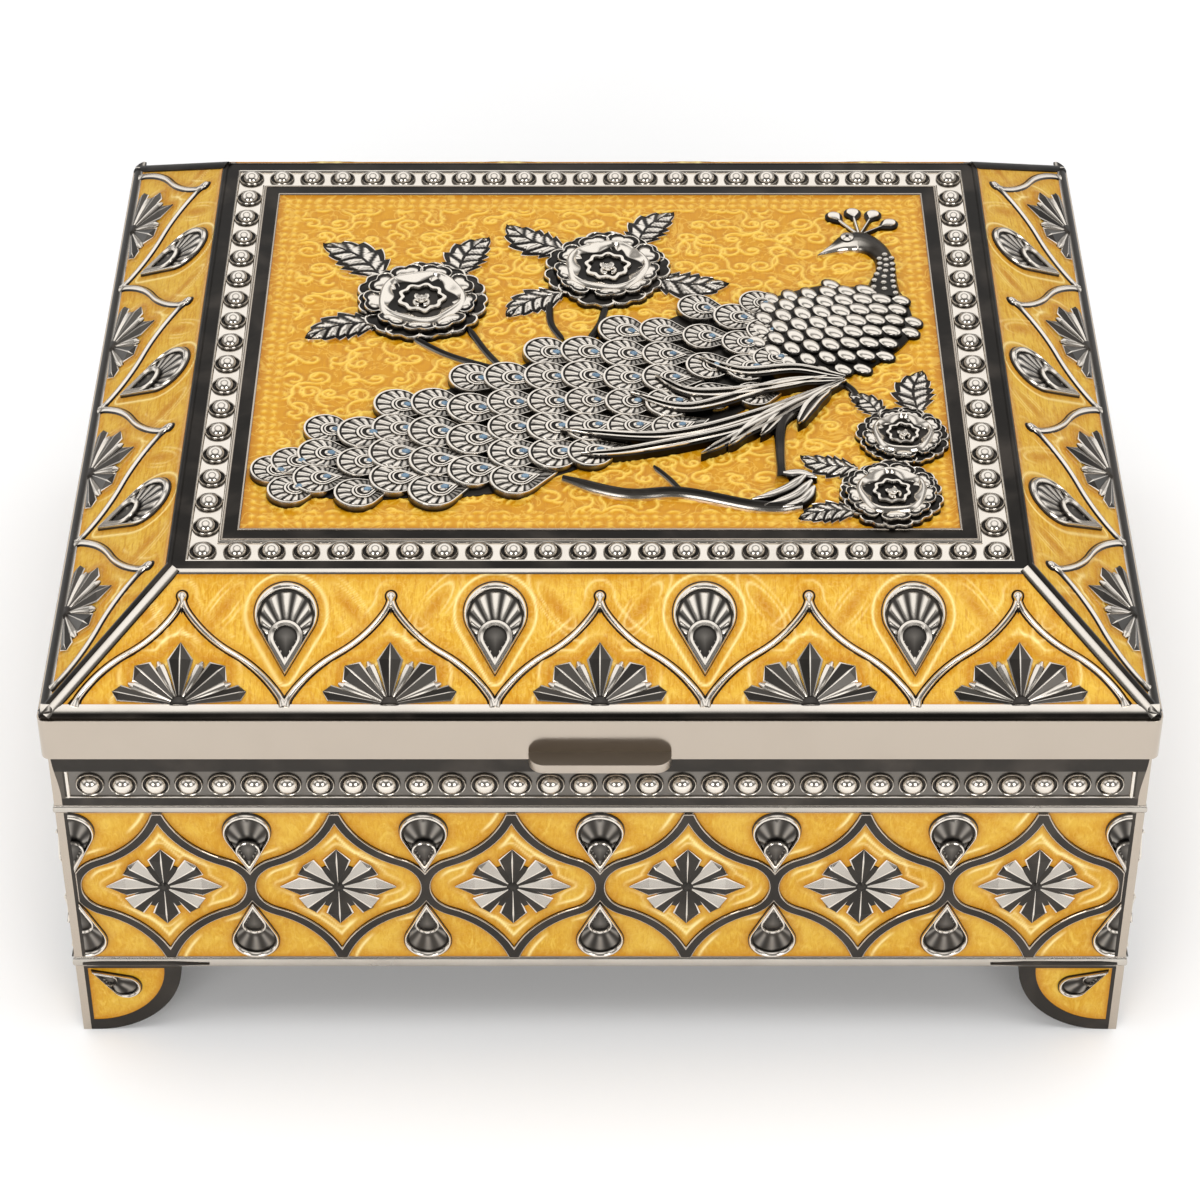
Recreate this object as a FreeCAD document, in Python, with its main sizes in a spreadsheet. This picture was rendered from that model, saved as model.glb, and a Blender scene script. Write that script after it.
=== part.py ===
import FreeCAD, Part
import math
import os

import Sketcher
from FreeCAD import Placement, Rotation, Vector

# Keepsake box of cast metal plates with enamel fields and a hinged, hipped lid.
# Millimetres. The floor is z = 0, the front of the box faces -Y and the hinges are at +Y.
# A wall or slope piece is drawn as it lies on the front and is turned to its own side.

SIZES = [
    # The box as a whole
    ("rim_wide", 180.0, "lid rim, left to right"),
    ("rim_deep", 160.0, "lid rim, front to back"),
    ("overhang", 1.0, "rim past the walls"),
    ("wall_top", 64.0, "floor to the rim's lower edge"),
    ("wall_thick", 3.0, "wall plate"),
    # Bands of a wall, from the top down
    ("top_band", 3.6, "plain band over the beads"),
    ("bead_strip_high", 6.0, "beaded strip"),
    ("middle_band", 3.2, "band and moulding under the beads"),
    ("bottom_strip", 2.3, "strip under the enamel field"),
    ("foot_high", 15.5, "foot"),
    ("stile_wide", 2.0, "corner stile beside the fields"),
    # Beads
    ("channel_deep", 0.8, "channel that a beaded strip lies in"),
    ("strip_thick", 0.4, "beaded strip's ground"),
    ("bead_radius", 1.6, "bead of the walls"),
    ("bead_margin", 4.2, "strip's end to the first bead"),
    ("front_beads", 32, "beads of the front and of the rear"),
    ("side_beads", 28, "beads of a side wall"),
    # Enamel fields of the walls and their ornament
    ("field_deep", 1.0, "recess of a wall's enamel field"),
    ("enamel_thick", 0.7, "wall enamel"),
    ("front_cells", 6, "lattice cells of the front and of the rear"),
    ("side_cells", 5, "lattice cells of a side wall"),
    ("strap_wide", 1.7, "lattice strap"),
    ("strap_thick", 0.7, "lattice strap, proud of the enamel"),
    ("cell_side_radius", 6.0, "round side of a lattice cell"),
    ("cell_flare", 20.0, "degrees from level where a cell's curve turns"),
    ("rosette_reach", 9.2, "upright and level petals"),
    ("rosette_diagonal", 8.0, "diagonal petals"),
    ("petal_half_wide", 2.3, "half a rosette petal"),
    ("rosette_high", 1.3, "rosette, proud of the enamel"),
    ("drop_high", 13.3, "wall drop"),
    ("drop_radius", 4.05, "wall drop's round end"),
    ("drop_rim", 0.8, "rim of a wall drop"),
    ("drop_thick", 0.9, "wall drop, proud of the enamel"),
    # Feet
    ("foot_toe", 0.4, "level toe between the stile and the foot's curve"),
    ("foot_rim", 2.4, "border of the foot's cell"),
    ("foot_cell_gap", 0.5, "strip to the foot's cell"),
    ("foot_cell_deep", 0.8, "recess of the foot's cell"),
    ("foot_enamel_thick", 0.5, "enamel of the foot's cell"),
    ("foot_leaf_high", 9.6, "leaf on a foot"),
    ("foot_leaf_radius", 2.5, "round end of the leaf"),
    ("foot_leaf_thick", 0.8, "leaf, proud of the enamel"),
    ("foot_leaf_slant", 124.0, "degrees of the leaf from upright"),
    ("foot_leaf_inset", 0.5, "leaf's point to the upper outer corner of the foot's cell"),
    # Bottom and linings
    ("plate_thick", 2.0, "bottom plate"),
    ("plate_gap", 0.2, "bottom plate to the walls"),
    ("gusset_leg", 12.0, "corner gusset along a wall"),
    ("gusset_high", 8.0, "corner gusset"),
    ("screw_radius", 1.5, "bottom screw's shank"),
    ("screw_long", 7.0, "bottom screw"),
    ("screw_head_radius", 2.8, "countersunk head"),
    ("screw_head_high", 1.3, "countersunk head"),
    ("screw_clear", 0.05, "screw to its hole"),
    ("screw_inset", 4.0, "screw to the walls' inner faces"),
    ("pad_thick", 2.5, "padded bottom lining"),
    ("lining_thick", 1.5, "wall lining"),
    ("lining_gap", 0.2, "linings to the wall and to each other"),
    ("lining_drop", 1.5, "wall's top to the lining's top"),
    ("lid_pad_thick", 2.0, "padded lid lining"),
    ("lid_pad_gap", 2.0, "lid lining to the slopes"),
    # Lid
    ("rim_high", 8.2, "lid rim"),
    ("rim_wall", 2.4, "thickness of the rim and the slopes"),
    ("rim_round", 1.5, "rim's corners"),
    ("rim_ledge", 0.5, "step from the rim to the slopes"),
    ("bevel_inset", 20.9, "slope, in plan"),
    ("bevel_rise", 14.4, "slope, in height"),
    ("roof_thick", 2.6, "flat top"),
    ("top_border", 2.0, "flat border outside the lid's beads"),
    ("lid_channel_wide", 5.2, "bead channel of the lid"),
    ("inner_border", 3.0, "flat border inside the lid's beads"),
    ("panel_deep", 1.0, "recess of the lid's panel"),
    ("panel_enamel_thick", 0.7, "enamel of the lid's panel"),
    ("lid_bead_radius", 1.5, "bead of the lid"),
    ("lid_front_beads", 24, "beads of the lid's front row, with the corners"),
    ("lid_side_beads", 18, "beads of a side row, with the corners"),
    ("tab_wide", 23.0, "thumb tab"),
    ("tab_high", 1.7, "thumb tab's thickness"),
    ("tab_proud", 3.3, "thumb tab, in front of the rim"),
    ("tab_round", 2.6, "thumb tab's front corners"),
    # Ornament of the lid's slopes
    ("slope_margin", 0.8, "slope's lower edge to its frame"),
    ("frame_low_wide", 1.5, "frame along the rim"),
    ("frame_side_wide", 1.1, "frame along the hips and the top"),
    ("frame_thick", 0.6, "frame and arched ribs"),
    ("slope_enamel_thick", 0.35, "enamel of a slope"),
    ("front_bays", 5, "arches of the front and of the rear slope"),
    ("side_bays", 4, "arches of a side slope"),
    ("arch_wide", 1.1, "arched rib"),
    ("arch_margin", 6.0, "rim's corner to the first arch"),
    ("arch_high", 19.8, "arch, up the slope"),
    ("arch_flat", 20.0, "degrees by which an arch's middle lies flatter than foot to point"),
    ("arch_rise", 6.0, "degrees by which it stands steeper beside its upright ends"),
    ("palmette_reach", 10.4, "palmette's petals"),
    ("palmette_thick", 0.9, "palmette, proud of the enamel"),
    ("teardrop_high", 15.8, "teardrop"),
    ("teardrop_radius", 5.25, "teardrop's round end"),
    ("teardrop_rim", 0.9, "rim of a teardrop"),
    ("teardrop_low", 6.9, "slope's lower edge to the teardrop's point"),
    ("teardrop_thick", 0.9, "teardrop, proud of the enamel"),
    # Relief on the lid's panel
    ("bird_thick", 2.2, "bird's body, head and leg"),
    ("train_thick", 1.2, "train"),
    ("quill_thick", 1.9, "wing quills"),
    ("quill_wide", 1.8, "wing quill at its widest"),
    ("blossom_thick", 1.7, "blossoms"),
    ("blossom_rim_thick", 1.0, "outer petals of the blossoms"),
    ("leaf_thick", 0.8, "leaves"),
    ("stem_wide", 1.4, "stems"),
    ("branch_wide", 2.2, "branch"),
    # Hinges
    ("hinge_apart", 100.0, "middle of one hinge to the other"),
    ("hinge_long", 20.0, "hinge"),
    ("body_knuckle_long", 6.0, "each of a hinge's two knuckles on the body"),
    ("knuckle_gap", 0.3, "between the knuckles"),
    ("barrel_radius", 1.3, "knuckles"),
    ("barrel_gap", 0.15, "rim to the knuckles"),
    ("hinge_plate_thick", 1.0, "hinge plates"),
    ("lid_plate_high", 5.0, "hinge plate on the rim"),
    ("plate_drop", 0.2, "body's hinge plate below the rim"),
    ("heel_drop", 1.15, "square heel that stops the lid when it is open"),
    ("pin_radius", 0.6, "hinge pin"),
    ("pin_clear", 0.04, "pin to its bore"),
    ("pin_end", 0.4, "pin past the knuckles"),
]

doc = FreeCAD.newDocument("keepsake_box")
sheet = doc.addObject("Spreadsheet::Sheet", "sizes")
for row, (alias, number, note) in enumerate(SIZES, 1):
    sheet.set(f"A{row}", note)
    sheet.set(f"B{row}", str(number))
    sheet.setAlias(f"B{row}", alias)
doc.recompute()

# Sizes that follow from the sheet
BODY_WIDE = "(sizes.rim_wide - 2 * sizes.overhang)"
BODY_DEEP = "(sizes.rim_deep - 2 * sizes.overhang)"
INNER_WIDE = f"({BODY_WIDE} - 2 * sizes.wall_thick)"
INNER_DEEP = f"({BODY_DEEP} - 2 * sizes.wall_thick)"
BEAD_LOW = "(sizes.wall_top - sizes.top_band - sizes.bead_strip_high)"
FIELD_LOW = "(sizes.foot_high + sizes.bottom_strip)"
FIELD_HIGH = f"({BEAD_LOW} - sizes.middle_band - {FIELD_LOW})"
FOOT_FLAT = "(sizes.stile_wide + sizes.foot_toe)"
CELL_TOP = "(sizes.foot_high - sizes.foot_cell_gap)"
CELL_RADIUS = f"({CELL_TOP} - sizes.foot_rim)"
PLATE_TOP = "(sizes.foot_high + sizes.plate_thick)"
PAD_TOP = f"({PLATE_TOP} + sizes.pad_thick)"
LINING_LOW = f"({PAD_TOP} + sizes.lining_gap)"
LINING_HIGH = f"(sizes.wall_top - sizes.lining_drop - {LINING_LOW})"
RIM_TOP = "(sizes.wall_top + sizes.rim_high)"
LID_TOP = f"({RIM_TOP} + sizes.bevel_rise)"
FLAT_WIDE = "(sizes.rim_wide - 2 * sizes.bevel_inset)"
FLAT_DEEP = "(sizes.rim_deep - 2 * sizes.bevel_inset)"
PANEL_INSET = "(sizes.top_border + sizes.lid_channel_wide + sizes.inner_border)"
ROOF_SHIFT = "(sizes.roof_thick * sizes.bevel_inset / sizes.bevel_rise - sizes.rim_wall)"
HINGE_Y = "(sizes.rim_deep / 2 + sizes.barrel_gap + sizes.barrel_radius)"

# Each side of the box, a quarter turn apart: length of its wall and its reach from the middle
SIDES = {
    "front": (BODY_WIDE, f"({BODY_DEEP} / 2)"),
    "right": (BODY_DEEP, f"({BODY_WIDE} / 2)"),
    "rear": (BODY_WIDE, f"({BODY_DEEP} / 2)"),
    "left": (BODY_DEEP, f"({BODY_WIDE} / 2)"),
}
ACROSS = ("front", "rear")
UP = Vector(0, 0, 1)
RIGHT = Vector(1, 0, 0)
nodes = []


def facing(side):
    """The turn from the front of the box to one of its sides."""
    quarters = list(SIDES).index(side)
    return Rotation(UP, quarters * math.degrees(math.pi / 2))


def value(expression):
    """The number that an expression of the sheet's sizes gives."""
    return float(sheet.evalExpression(str(expression)))


def size(alias):
    """The number in one cell of the sheet."""
    return value(f"sizes.{alias}")


def node(thing, label):
    """Name a finished sub-part and list it."""
    thing.Label = label
    nodes.append(thing)
    return thing


# Sketches and features of a body

def new_body(label, turn=None):
    body = doc.addObject("PartDesign::Body", label)
    body.Placement = Placement(Vector(), turn or Rotation())
    return node(body, label)


def origin(body, role):
    return next(feature for feature in body.Origin.OriginFeatures if feature.Role == role)


def new_sketch(body, name, role, offset):
    sketch = body.newObject("Sketcher::SketchObject", f"{body.Name}_{name}")
    sketch.AttachmentSupport = [(origin(body, role), "")]
    sketch.MapMode = "FlatFace"
    sketch.setExpression("AttachmentOffset.Base.z", offset)
    return sketch


def constrain(sketch, kind, *places):
    sketch.addConstraint(Sketcher.Constraint(kind, *places))


def measure(sketch, kind, places, expression):
    """A dimension of a sketch, bound to the sheet."""
    index = sketch.addConstraint(Sketcher.Constraint(kind, *places, value(expression)))
    sketch.setExpression(f"Constraints[{index}]", expression)


def add_loop(sketch, points):
    """Straight edges round the points; gives the first edge's number."""
    first = sketch.GeometryCount
    count = len(points)
    for index in range(count):
        sketch.addGeometry(Part.LineSegment(points[index], points[(index + 1) % count]))
    for index in range(count):
        constrain(sketch, "Coincident", first + index, 2, first + (index + 1) % count, 1)
    return first


def upright_rectangle(sketch, wide, low, high):
    """A rectangle of a wall: centred from side to side, its lower edge at low."""
    half = value(wide) / 2
    bottom = value(low)
    top = bottom + value(high)
    corners = [Vector(-half, bottom), Vector(half, bottom), Vector(half, top), Vector(-half, top)]
    edge = add_loop(sketch, corners)
    constrain(sketch, "Vertical", edge + 1)
    constrain(sketch, "Vertical", edge + 3)
    constrain(sketch, "Horizontal", edge + 2)
    constrain(sketch, "Symmetric", edge, 1, edge, 2, -2)
    measure(sketch, "DistanceX", (edge, 1, edge, 2), wide)
    measure(sketch, "DistanceY", (-1, 1, edge, 1), low)
    measure(sketch, "DistanceY", (edge + 1, 1, edge + 1, 2), high)


def level_rectangle(sketch, wide, deep):
    """A rectangle of the plan, centred on the middle of the box."""
    half = value(wide) / 2
    back = value(deep) / 2
    corners = [Vector(-half, -back), Vector(half, -back), Vector(half, back), Vector(-half, back)]
    edge = add_loop(sketch, corners)
    constrain(sketch, "Horizontal", edge)
    constrain(sketch, "Horizontal", edge + 2)
    constrain(sketch, "Vertical", edge + 1)
    constrain(sketch, "Vertical", edge + 3)
    constrain(sketch, "Symmetric", edge, 1, edge + 1, 2, -1, 1)
    measure(sketch, "DistanceX", (edge, 1, edge, 2), wide)
    measure(sketch, "DistanceY", (edge + 1, 1, edge + 1, 2), deep)


def quarter_round(sketch, outer, top, flat, radius):
    """A bracket foot: level top, upright outer edge, short level toe and a quarter circle."""
    right = value(outer)
    level = value(top)
    bend = right - value(flat)
    sweep = value(radius)
    low = level - sweep
    sketch.addGeometry(Part.LineSegment(Vector(bend - sweep, level), Vector(right, level)))
    sketch.addGeometry(Part.LineSegment(Vector(right, level), Vector(right, low)))
    sketch.addGeometry(Part.LineSegment(Vector(right, low), Vector(bend, low)))
    circle = Part.Circle(Vector(bend, level), UP, sweep)
    sketch.addGeometry(Part.ArcOfCircle(circle, math.pi, 1.5 * math.pi))
    constrain(sketch, "Coincident", 0, 2, 1, 1)
    constrain(sketch, "Coincident", 1, 2, 2, 1)
    constrain(sketch, "Coincident", 2, 2, 3, 2)
    constrain(sketch, "Coincident", 3, 1, 0, 1)
    constrain(sketch, "Horizontal", 0)
    constrain(sketch, "Vertical", 1)
    constrain(sketch, "Horizontal", 2)
    constrain(sketch, "PointOnObject", 3, 3, 0)
    constrain(sketch, "Vertical", 3, 3, 3, 2)
    measure(sketch, "DistanceX", (-1, 1, 0, 2), outer)
    measure(sketch, "DistanceY", (-1, 1, 0, 2), top)
    measure(sketch, "DistanceX", (2, 2, 1, 2), flat)
    measure(sketch, "Radius", (3,), radius)


def mitre_corner(sketch, outer, reach, leg):
    """The triangle that a mitre takes off a wall's end, in plan."""
    right = value(outer)
    face = -value(reach)
    side = value(leg)
    corners = [Vector(right, face), Vector(right, face + side), Vector(right - side, face + side)]
    edge = add_loop(sketch, corners)
    constrain(sketch, "Vertical", edge)
    constrain(sketch, "Horizontal", edge + 1)
    constrain(sketch, "Equal", edge, edge + 1)
    measure(sketch, "DistanceX", (-1, 1, edge, 1), outer)
    measure(sketch, "DistanceY", (edge, 1, -1, 1), reach)
    measure(sketch, "DistanceY", (edge, 1, edge, 2), leg)


def pad(body, sketch, length, backwards=False):
    feature = body.newObject("PartDesign::Pad", f"{sketch.Name}_pad")
    feature.Profile = sketch
    feature.setExpression("Length", length)
    feature.Reversed = backwards
    body.Tip = feature
    return feature


def pocket(body, sketch, length, backwards=False):
    """A cut into the solid; a depth of None goes right through."""
    doc.recompute()
    before = body.Shape.Volume
    feature = body.newObject("PartDesign::Pocket", f"{sketch.Name}_pocket")
    feature.Profile = sketch
    feature.Reversed = backwards
    if length is None:
        feature.Type = "ThroughAll"
    else:
        feature.setExpression("Length", length)
    body.Tip = feature
    doc.recompute()
    if not body.Shape.Volume < before:
        raise ValueError(f"{feature.Name} cuts nothing")
    return feature


def mirrored(body, feature):
    """The same feature at the other end of a wall."""
    copy = body.newObject("PartDesign::Mirrored", f"{feature.Name}_mirrored")
    copy.Originals = [feature]
    copy.MirrorPlane = (origin(body, "YZ_Plane"), [""])
    body.Tip = copy
    return copy


def bead_row(body, name, role, start, radius, axis, length, count):
    """Half balls on a strip: the first one and its row along an axis of the body."""
    ball = body.newObject("PartDesign::AdditiveSphere", f"{body.Name}_{name}")
    ball.AttachmentSupport = [(origin(body, role), "")]
    ball.MapMode = "FlatFace"
    ball.Angle1 = 0
    ball.setExpression("Radius", radius)
    for direction, place in zip("xyz", start):
        ball.setExpression(f"AttachmentOffset.Base.{direction}", place)
    row = body.newObject("PartDesign::LinearPattern", f"{body.Name}_{name}_row")
    row.Originals = [ball]
    row.Direction = (origin(body, axis), [""])
    row.setExpression("Length", length)
    row.setExpression("Occurrences", count)
    body.Tip = row


# Walls, their strips, their enamel and their linings

def make_wall(side):
    length, reach = SIDES[side]
    body = new_body(f"{side}_wall", facing(side))
    between_stiles = f"{length} - 2 * sizes.stile_wide"
    plate = new_sketch(body, "plate", "XZ_Plane", reach)
    upright_rectangle(plate, length, "sizes.foot_high", "sizes.wall_top - sizes.foot_high")
    pad(body, plate, "sizes.wall_thick", backwards=True)
    foot = new_sketch(body, "foot", "XZ_Plane", reach)
    quarter_round(foot, f"{length} / 2", "sizes.foot_high", FOOT_FLAT, "sizes.foot_high")
    mirrored(body, pad(body, foot, "sizes.wall_thick", backwards=True))
    mitre = new_sketch(body, "mitre", "XY_Plane", "0")
    mitre_corner(mitre, f"{length} / 2", reach, "2 * sizes.wall_thick")
    mirrored(body, pocket(body, mitre, None, backwards=True))
    channel = new_sketch(body, "channel", "XZ_Plane", reach)
    upright_rectangle(channel, between_stiles, BEAD_LOW, "sizes.bead_strip_high")
    pocket(body, channel, "sizes.channel_deep")
    field = new_sketch(body, "field", "XZ_Plane", reach)
    upright_rectangle(field, between_stiles, FIELD_LOW, FIELD_HIGH)
    pocket(body, field, "sizes.field_deep")
    cell = new_sketch(body, "cell", "XZ_Plane", reach)
    quarter_round(cell, f"{length} / 2 - sizes.stile_wide", CELL_TOP, "sizes.foot_toe", CELL_RADIUS)
    mirrored(body, pocket(body, cell, "sizes.foot_cell_deep"))


def make_wall_plate(label, side, wide, low, high, place, thick):
    """A flat piece of one wall, from its place off the middle outwards."""
    body = new_body(label, facing(side))
    sketch = new_sketch(body, "outline", "XZ_Plane", place)
    upright_rectangle(sketch, wide, low, high)
    pad(body, sketch, thick)
    return body


def make_bead_strip(side):
    length, reach = SIDES[side]
    count = "sizes.front_beads" if side in ACROSS else "sizes.side_beads"
    strip_long = f"({length} - 2 * sizes.stile_wide)"
    ground = f"{reach} - sizes.channel_deep"
    body = make_wall_plate(f"{side}_bead_strip", side, strip_long, BEAD_LOW,
                           "sizes.bead_strip_high", ground, "sizes.strip_thick")
    start = (
        f"sizes.bead_margin - {strip_long} / 2",
        f"{BEAD_LOW} + sizes.bead_strip_high / 2",
        f"{ground} + sizes.strip_thick",
    )
    bead_row(body, "bead", "XZ_Plane", start, "sizes.bead_radius", "X_Axis",
             f"{strip_long} - 2 * sizes.bead_margin", count)


def make_wall_enamel(side):
    length, reach = SIDES[side]
    make_wall_plate(f"{side}_enamel", side, f"{length} - 2 * sizes.stile_wide", FIELD_LOW,
                    FIELD_HIGH, f"{reach} - sizes.field_deep", "sizes.enamel_thick")


def make_wall_lining(side):
    length, reach = SIDES[side]
    end_gap = "sizes.wall_thick + sizes.lining_gap"
    if side not in ACROSS:
        end_gap += " + sizes.lining_thick + sizes.lining_gap"
    make_wall_plate(f"{side}_lining", side, f"{length} - 2 * ({end_gap})", LINING_LOW, LINING_HIGH,
                    f"{reach} - sizes.wall_thick - sizes.lining_gap - sizes.lining_thick",
                    "sizes.lining_thick")


# Flat outlines for the ornament, drawn in x and y

def outline(edges):
    return Part.Face(Part.Wire(edges))


def polygon(points):
    return Part.Face(Part.makePolygon(points + points[:1]))


def rectangle(left, low, right, high):
    return polygon([Vector(left, low), Vector(right, low), Vector(right, high), Vector(left, high)])


def slab(face, thick):
    return face.extrude(UP * thick)


def shifted(shape, x, y, z=0.0):
    copy = shape.copy()
    copy.translate(Vector(x, y, z))
    return copy


def turned(shape, degrees, about=None):
    copy = shape.copy()
    copy.rotate(about or Vector(), UP, degrees)
    return copy


def flipped(shape, normal):
    """The mirror image across a plane through the origin."""
    return shape.mirror(Vector(), normal)


def joined(shapes):
    return shapes[0].multiFuse(shapes[1:]).removeSplitter()


def solids(shape):
    return Part.makeCompound(shape.Solids)


def teardrop(radius, high):
    """Point at the origin, round end upwards."""
    centre = high - radius
    lean = math.asin(radius / centre)
    along = math.sqrt(centre ** 2 - radius ** 2)
    right = Vector(along * math.sin(lean), along * math.cos(lean))
    left = Vector(-right.x, right.y)
    tip = Vector()
    crown = Part.Arc(right, Vector(0, high), left)
    return outline([
        Part.LineSegment(tip, right).toShape(),
        crown.toShape(),
        Part.LineSegment(left, tip).toShape(),
    ])


def rimmed_drop(radius, high, rim, thick):
    """A drop with a raised rim, a sunk floor and a small raised drop inside."""
    body = slab(teardrop(radius, high), thick)
    scale = (radius - rim) / radius
    lift = (high - radius) * (1 - scale)
    floor = shifted(slab(teardrop(radius * scale, high * scale), thick), 0, lift, thick / 2)
    inner = slab(teardrop(radius * scale / 2, high * scale / 2), thick)
    inner = shifted(inner, 0, lift + rim)
    return body.cut(floor).fuse(inner).removeSplitter()


def strap(start, heading, turns, wide):
    """A flat strap along tangent arcs. A turn is a radius and an angle, left being positive."""
    sides = []
    for offset in (wide / 2, -wide / 2):
        place = Vector(start)
        angle = heading
        edges = []
        for radius, turn in turns:
            hand = 1 if turn > 0 else -1
            normal = Vector(-math.sin(math.radians(angle)), math.cos(math.radians(angle)))
            centre = place + normal * (hand * radius)
            points = []
            for share in (0, 0.5, 1):
                bearing = math.radians(angle + turn * share)
                ray = Vector(math.sin(bearing), -math.cos(bearing)) * hand
                points.append(centre + ray * (radius - hand * offset))
            place = centre + ray * radius
            angle += turn
            edges.append((points, Part.Arc(*points).toShape()))
        sides.append(edges)
    left, right = sides
    end = Part.LineSegment(left[-1][0][2], right[-1][0][2]).toShape()
    begin = Part.LineSegment(right[0][0][0], left[0][0][0]).toShape()
    loop = [edge for points, edge in left] + [end]
    loop += [edge for points, edge in reversed(right)] + [begin]
    return outline(loop)


def on_wall(side, proud):
    """Placement of flat ornament on a wall; proud is measured from the wall's face."""
    reach = value(SIDES[side][1])
    stand = Placement(Vector(0, -reach - proud, 0), Rotation(RIGHT, 90))
    return Placement(Vector(), facing(side)).multiply(stand)


def on_slope(side, proud):
    """Placement of flat ornament on a slope of the lid, y running up the slope."""
    full = size("rim_deep") if side in ACROSS else size("rim_wide")
    reach = full / 2 - size("rim_ledge")
    lean = math.degrees(math.atan2(size("bevel_rise"), SLOPE_PLAN))
    stand = Placement(Vector(0, -reach, value(RIM_TOP)), Rotation(RIGHT, lean))
    stand = stand.multiply(Placement(Vector(0, 0, proud), Rotation()))
    return Placement(Vector(), facing(side)).multiply(stand)


def on_panel(proud):
    """Placement of the relief on the enamel panel of the lid."""
    return Placement(Vector(0, 0, value(LID_TOP) + proud), Rotation())


def placed(shape, placement):
    copy = shape.copy()
    copy.Placement = placement.multiply(copy.Placement)
    return copy


def feature_node(label, shape):
    thing = doc.addObject("Part::Feature", label)
    thing.Shape = shape
    return node(thing, label)


# Ornament of the walls

ENAMEL_FACE = size("enamel_thick") - size("field_deep")
ROSETTE_PETALS = 8


def cell_centres(side):
    """Middle of each lattice cell along a wall, and half the cell's width."""
    count = int(size("front_cells") if side in ACROSS else size("side_cells"))
    field = value(SIDES[side][0]) - 2 * size("stile_wide")
    half = field / count / 2
    return [(2 * index + 1) * half - field / 2 for index in range(count)], half


def field_limits(side):
    half = value(SIDES[side][0]) / 2 - size("stile_wide")
    low = value(FIELD_LOW)
    return rectangle(-half, low, half, low + value(FIELD_HIGH))


def cell_quarter(half_wide, half_high):
    """The strap from a cell's upper point to its side: a hollow arc, then a round one."""
    flare = math.radians(size("cell_flare"))
    side_radius = size("cell_side_radius")
    across = half_wide - side_radius * (1 - math.sin(flare))
    down = half_high - side_radius * math.cos(flare)
    steep = 2 * math.atan2(down, across) - flare
    hollow_radius = across / (math.sin(steep) - math.sin(flare))
    turns = [
        (hollow_radius, math.degrees(steep - flare)),
        (side_radius, math.degrees(flare) - 90),
    ]
    return strap(Vector(0, half_high), -math.degrees(steep), turns, size("strap_wide"))


def make_lattice(side):
    centres, half = cell_centres(side)
    half_high = value(FIELD_HIGH) / 2
    quarter = cell_quarter(half, half_high)
    upper = [quarter, flipped(quarter, RIGHT)]
    ring = upper + [flipped(piece, Vector(0, 1, 0)) for piece in upper]
    middle = value(FIELD_LOW) + half_high
    straps = [slab(shifted(piece, x, middle), size("strap_thick")) for x in centres for piece in ring]
    limits = slab(field_limits(side), size("strap_thick"))
    lattice = joined(straps).common(limits)
    feature_node(f"{side}_lattice", placed(lattice, on_wall(side, ENAMEL_FACE)))


def kite(half, waist, reach):
    """Corners of a petal that points up the y axis and is widest at its waist."""
    return [Vector(), Vector(half, waist), Vector(0, reach), Vector(-half, waist)]


def petal(reach):
    """One rosette petal as a low pyramid over a kite."""
    base = kite(size("petal_half_wide"), reach / 2, reach)
    ridge = Vector(0, reach / 3, size("rosette_high"))
    faces = [polygon(base)]
    for index, corner in enumerate(base):
        faces.append(polygon([corner, base[(index + 1) % len(base)], ridge]))
    return Part.makeSolid(Part.makeShell(faces))


def rosette():
    petals = []
    for index in range(ROSETTE_PETALS):
        reach = size("rosette_diagonal") if index % 2 else size("rosette_reach")
        petals.append(turned(petal(reach), 360 * index / ROSETTE_PETALS))
    boss = Part.makeCylinder(size("petal_half_wide") / 2, size("rosette_high"))
    return joined(petals + [boss])


def make_rosettes():
    flower = rosette()
    middle = value(FIELD_LOW) + value(FIELD_HIGH) / 2
    group = []
    for side in SIDES:
        for x in cell_centres(side)[0]:
            group.append(placed(shifted(flower, x, middle), on_wall(side, ENAMEL_FACE)))
    feature_node("wall_rosettes", Part.makeCompound(group))


def make_drops():
    """A pair of drops, point to point, at each meeting of two cells; halves at the ends."""
    thick = size("drop_thick")
    drop = rimmed_drop(size("drop_radius"), size("drop_high"), size("drop_rim"), thick)
    half_high = value(FIELD_HIGH) / 2
    raised = shifted(drop, 0, half_high - size("drop_high"))
    pair = [raised, flipped(raised, Vector(0, 1, 0))]
    group = []
    for side in SIDES:
        centres, half = cell_centres(side)
        limits = slab(field_limits(side), thick)
        meetings = [centres[0] - half] + [x + half for x in centres]
        for x in meetings:
            for piece in pair:
                inside = shifted(piece, x, value(FIELD_LOW) + half_high).common(limits)
                group.append(placed(inside, on_wall(side, ENAMEL_FACE)))
    feature_node("wall_drops", Part.makeCompound([piece for shape in group for piece in shape.Solids]))


def foot_cell():
    """The enamel cell of a foot, with the cell's upper outer corner at the origin."""
    radius = value(CELL_RADIUS)
    toe = size("foot_toe")
    inner = Vector(-toe - radius, 0)
    corner = Vector()
    low = Vector(0, -radius)
    bend = Vector(-toe, -radius)
    slant = radius / math.sqrt(2)
    middle = Vector(-toe - slant, -slant)
    return outline([
        Part.LineSegment(inner, corner).toShape(),
        Part.LineSegment(corner, low).toShape(),
        Part.LineSegment(low, bend).toShape(),
        Part.Arc(bend, middle, inner).toShape(),
    ])


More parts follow.
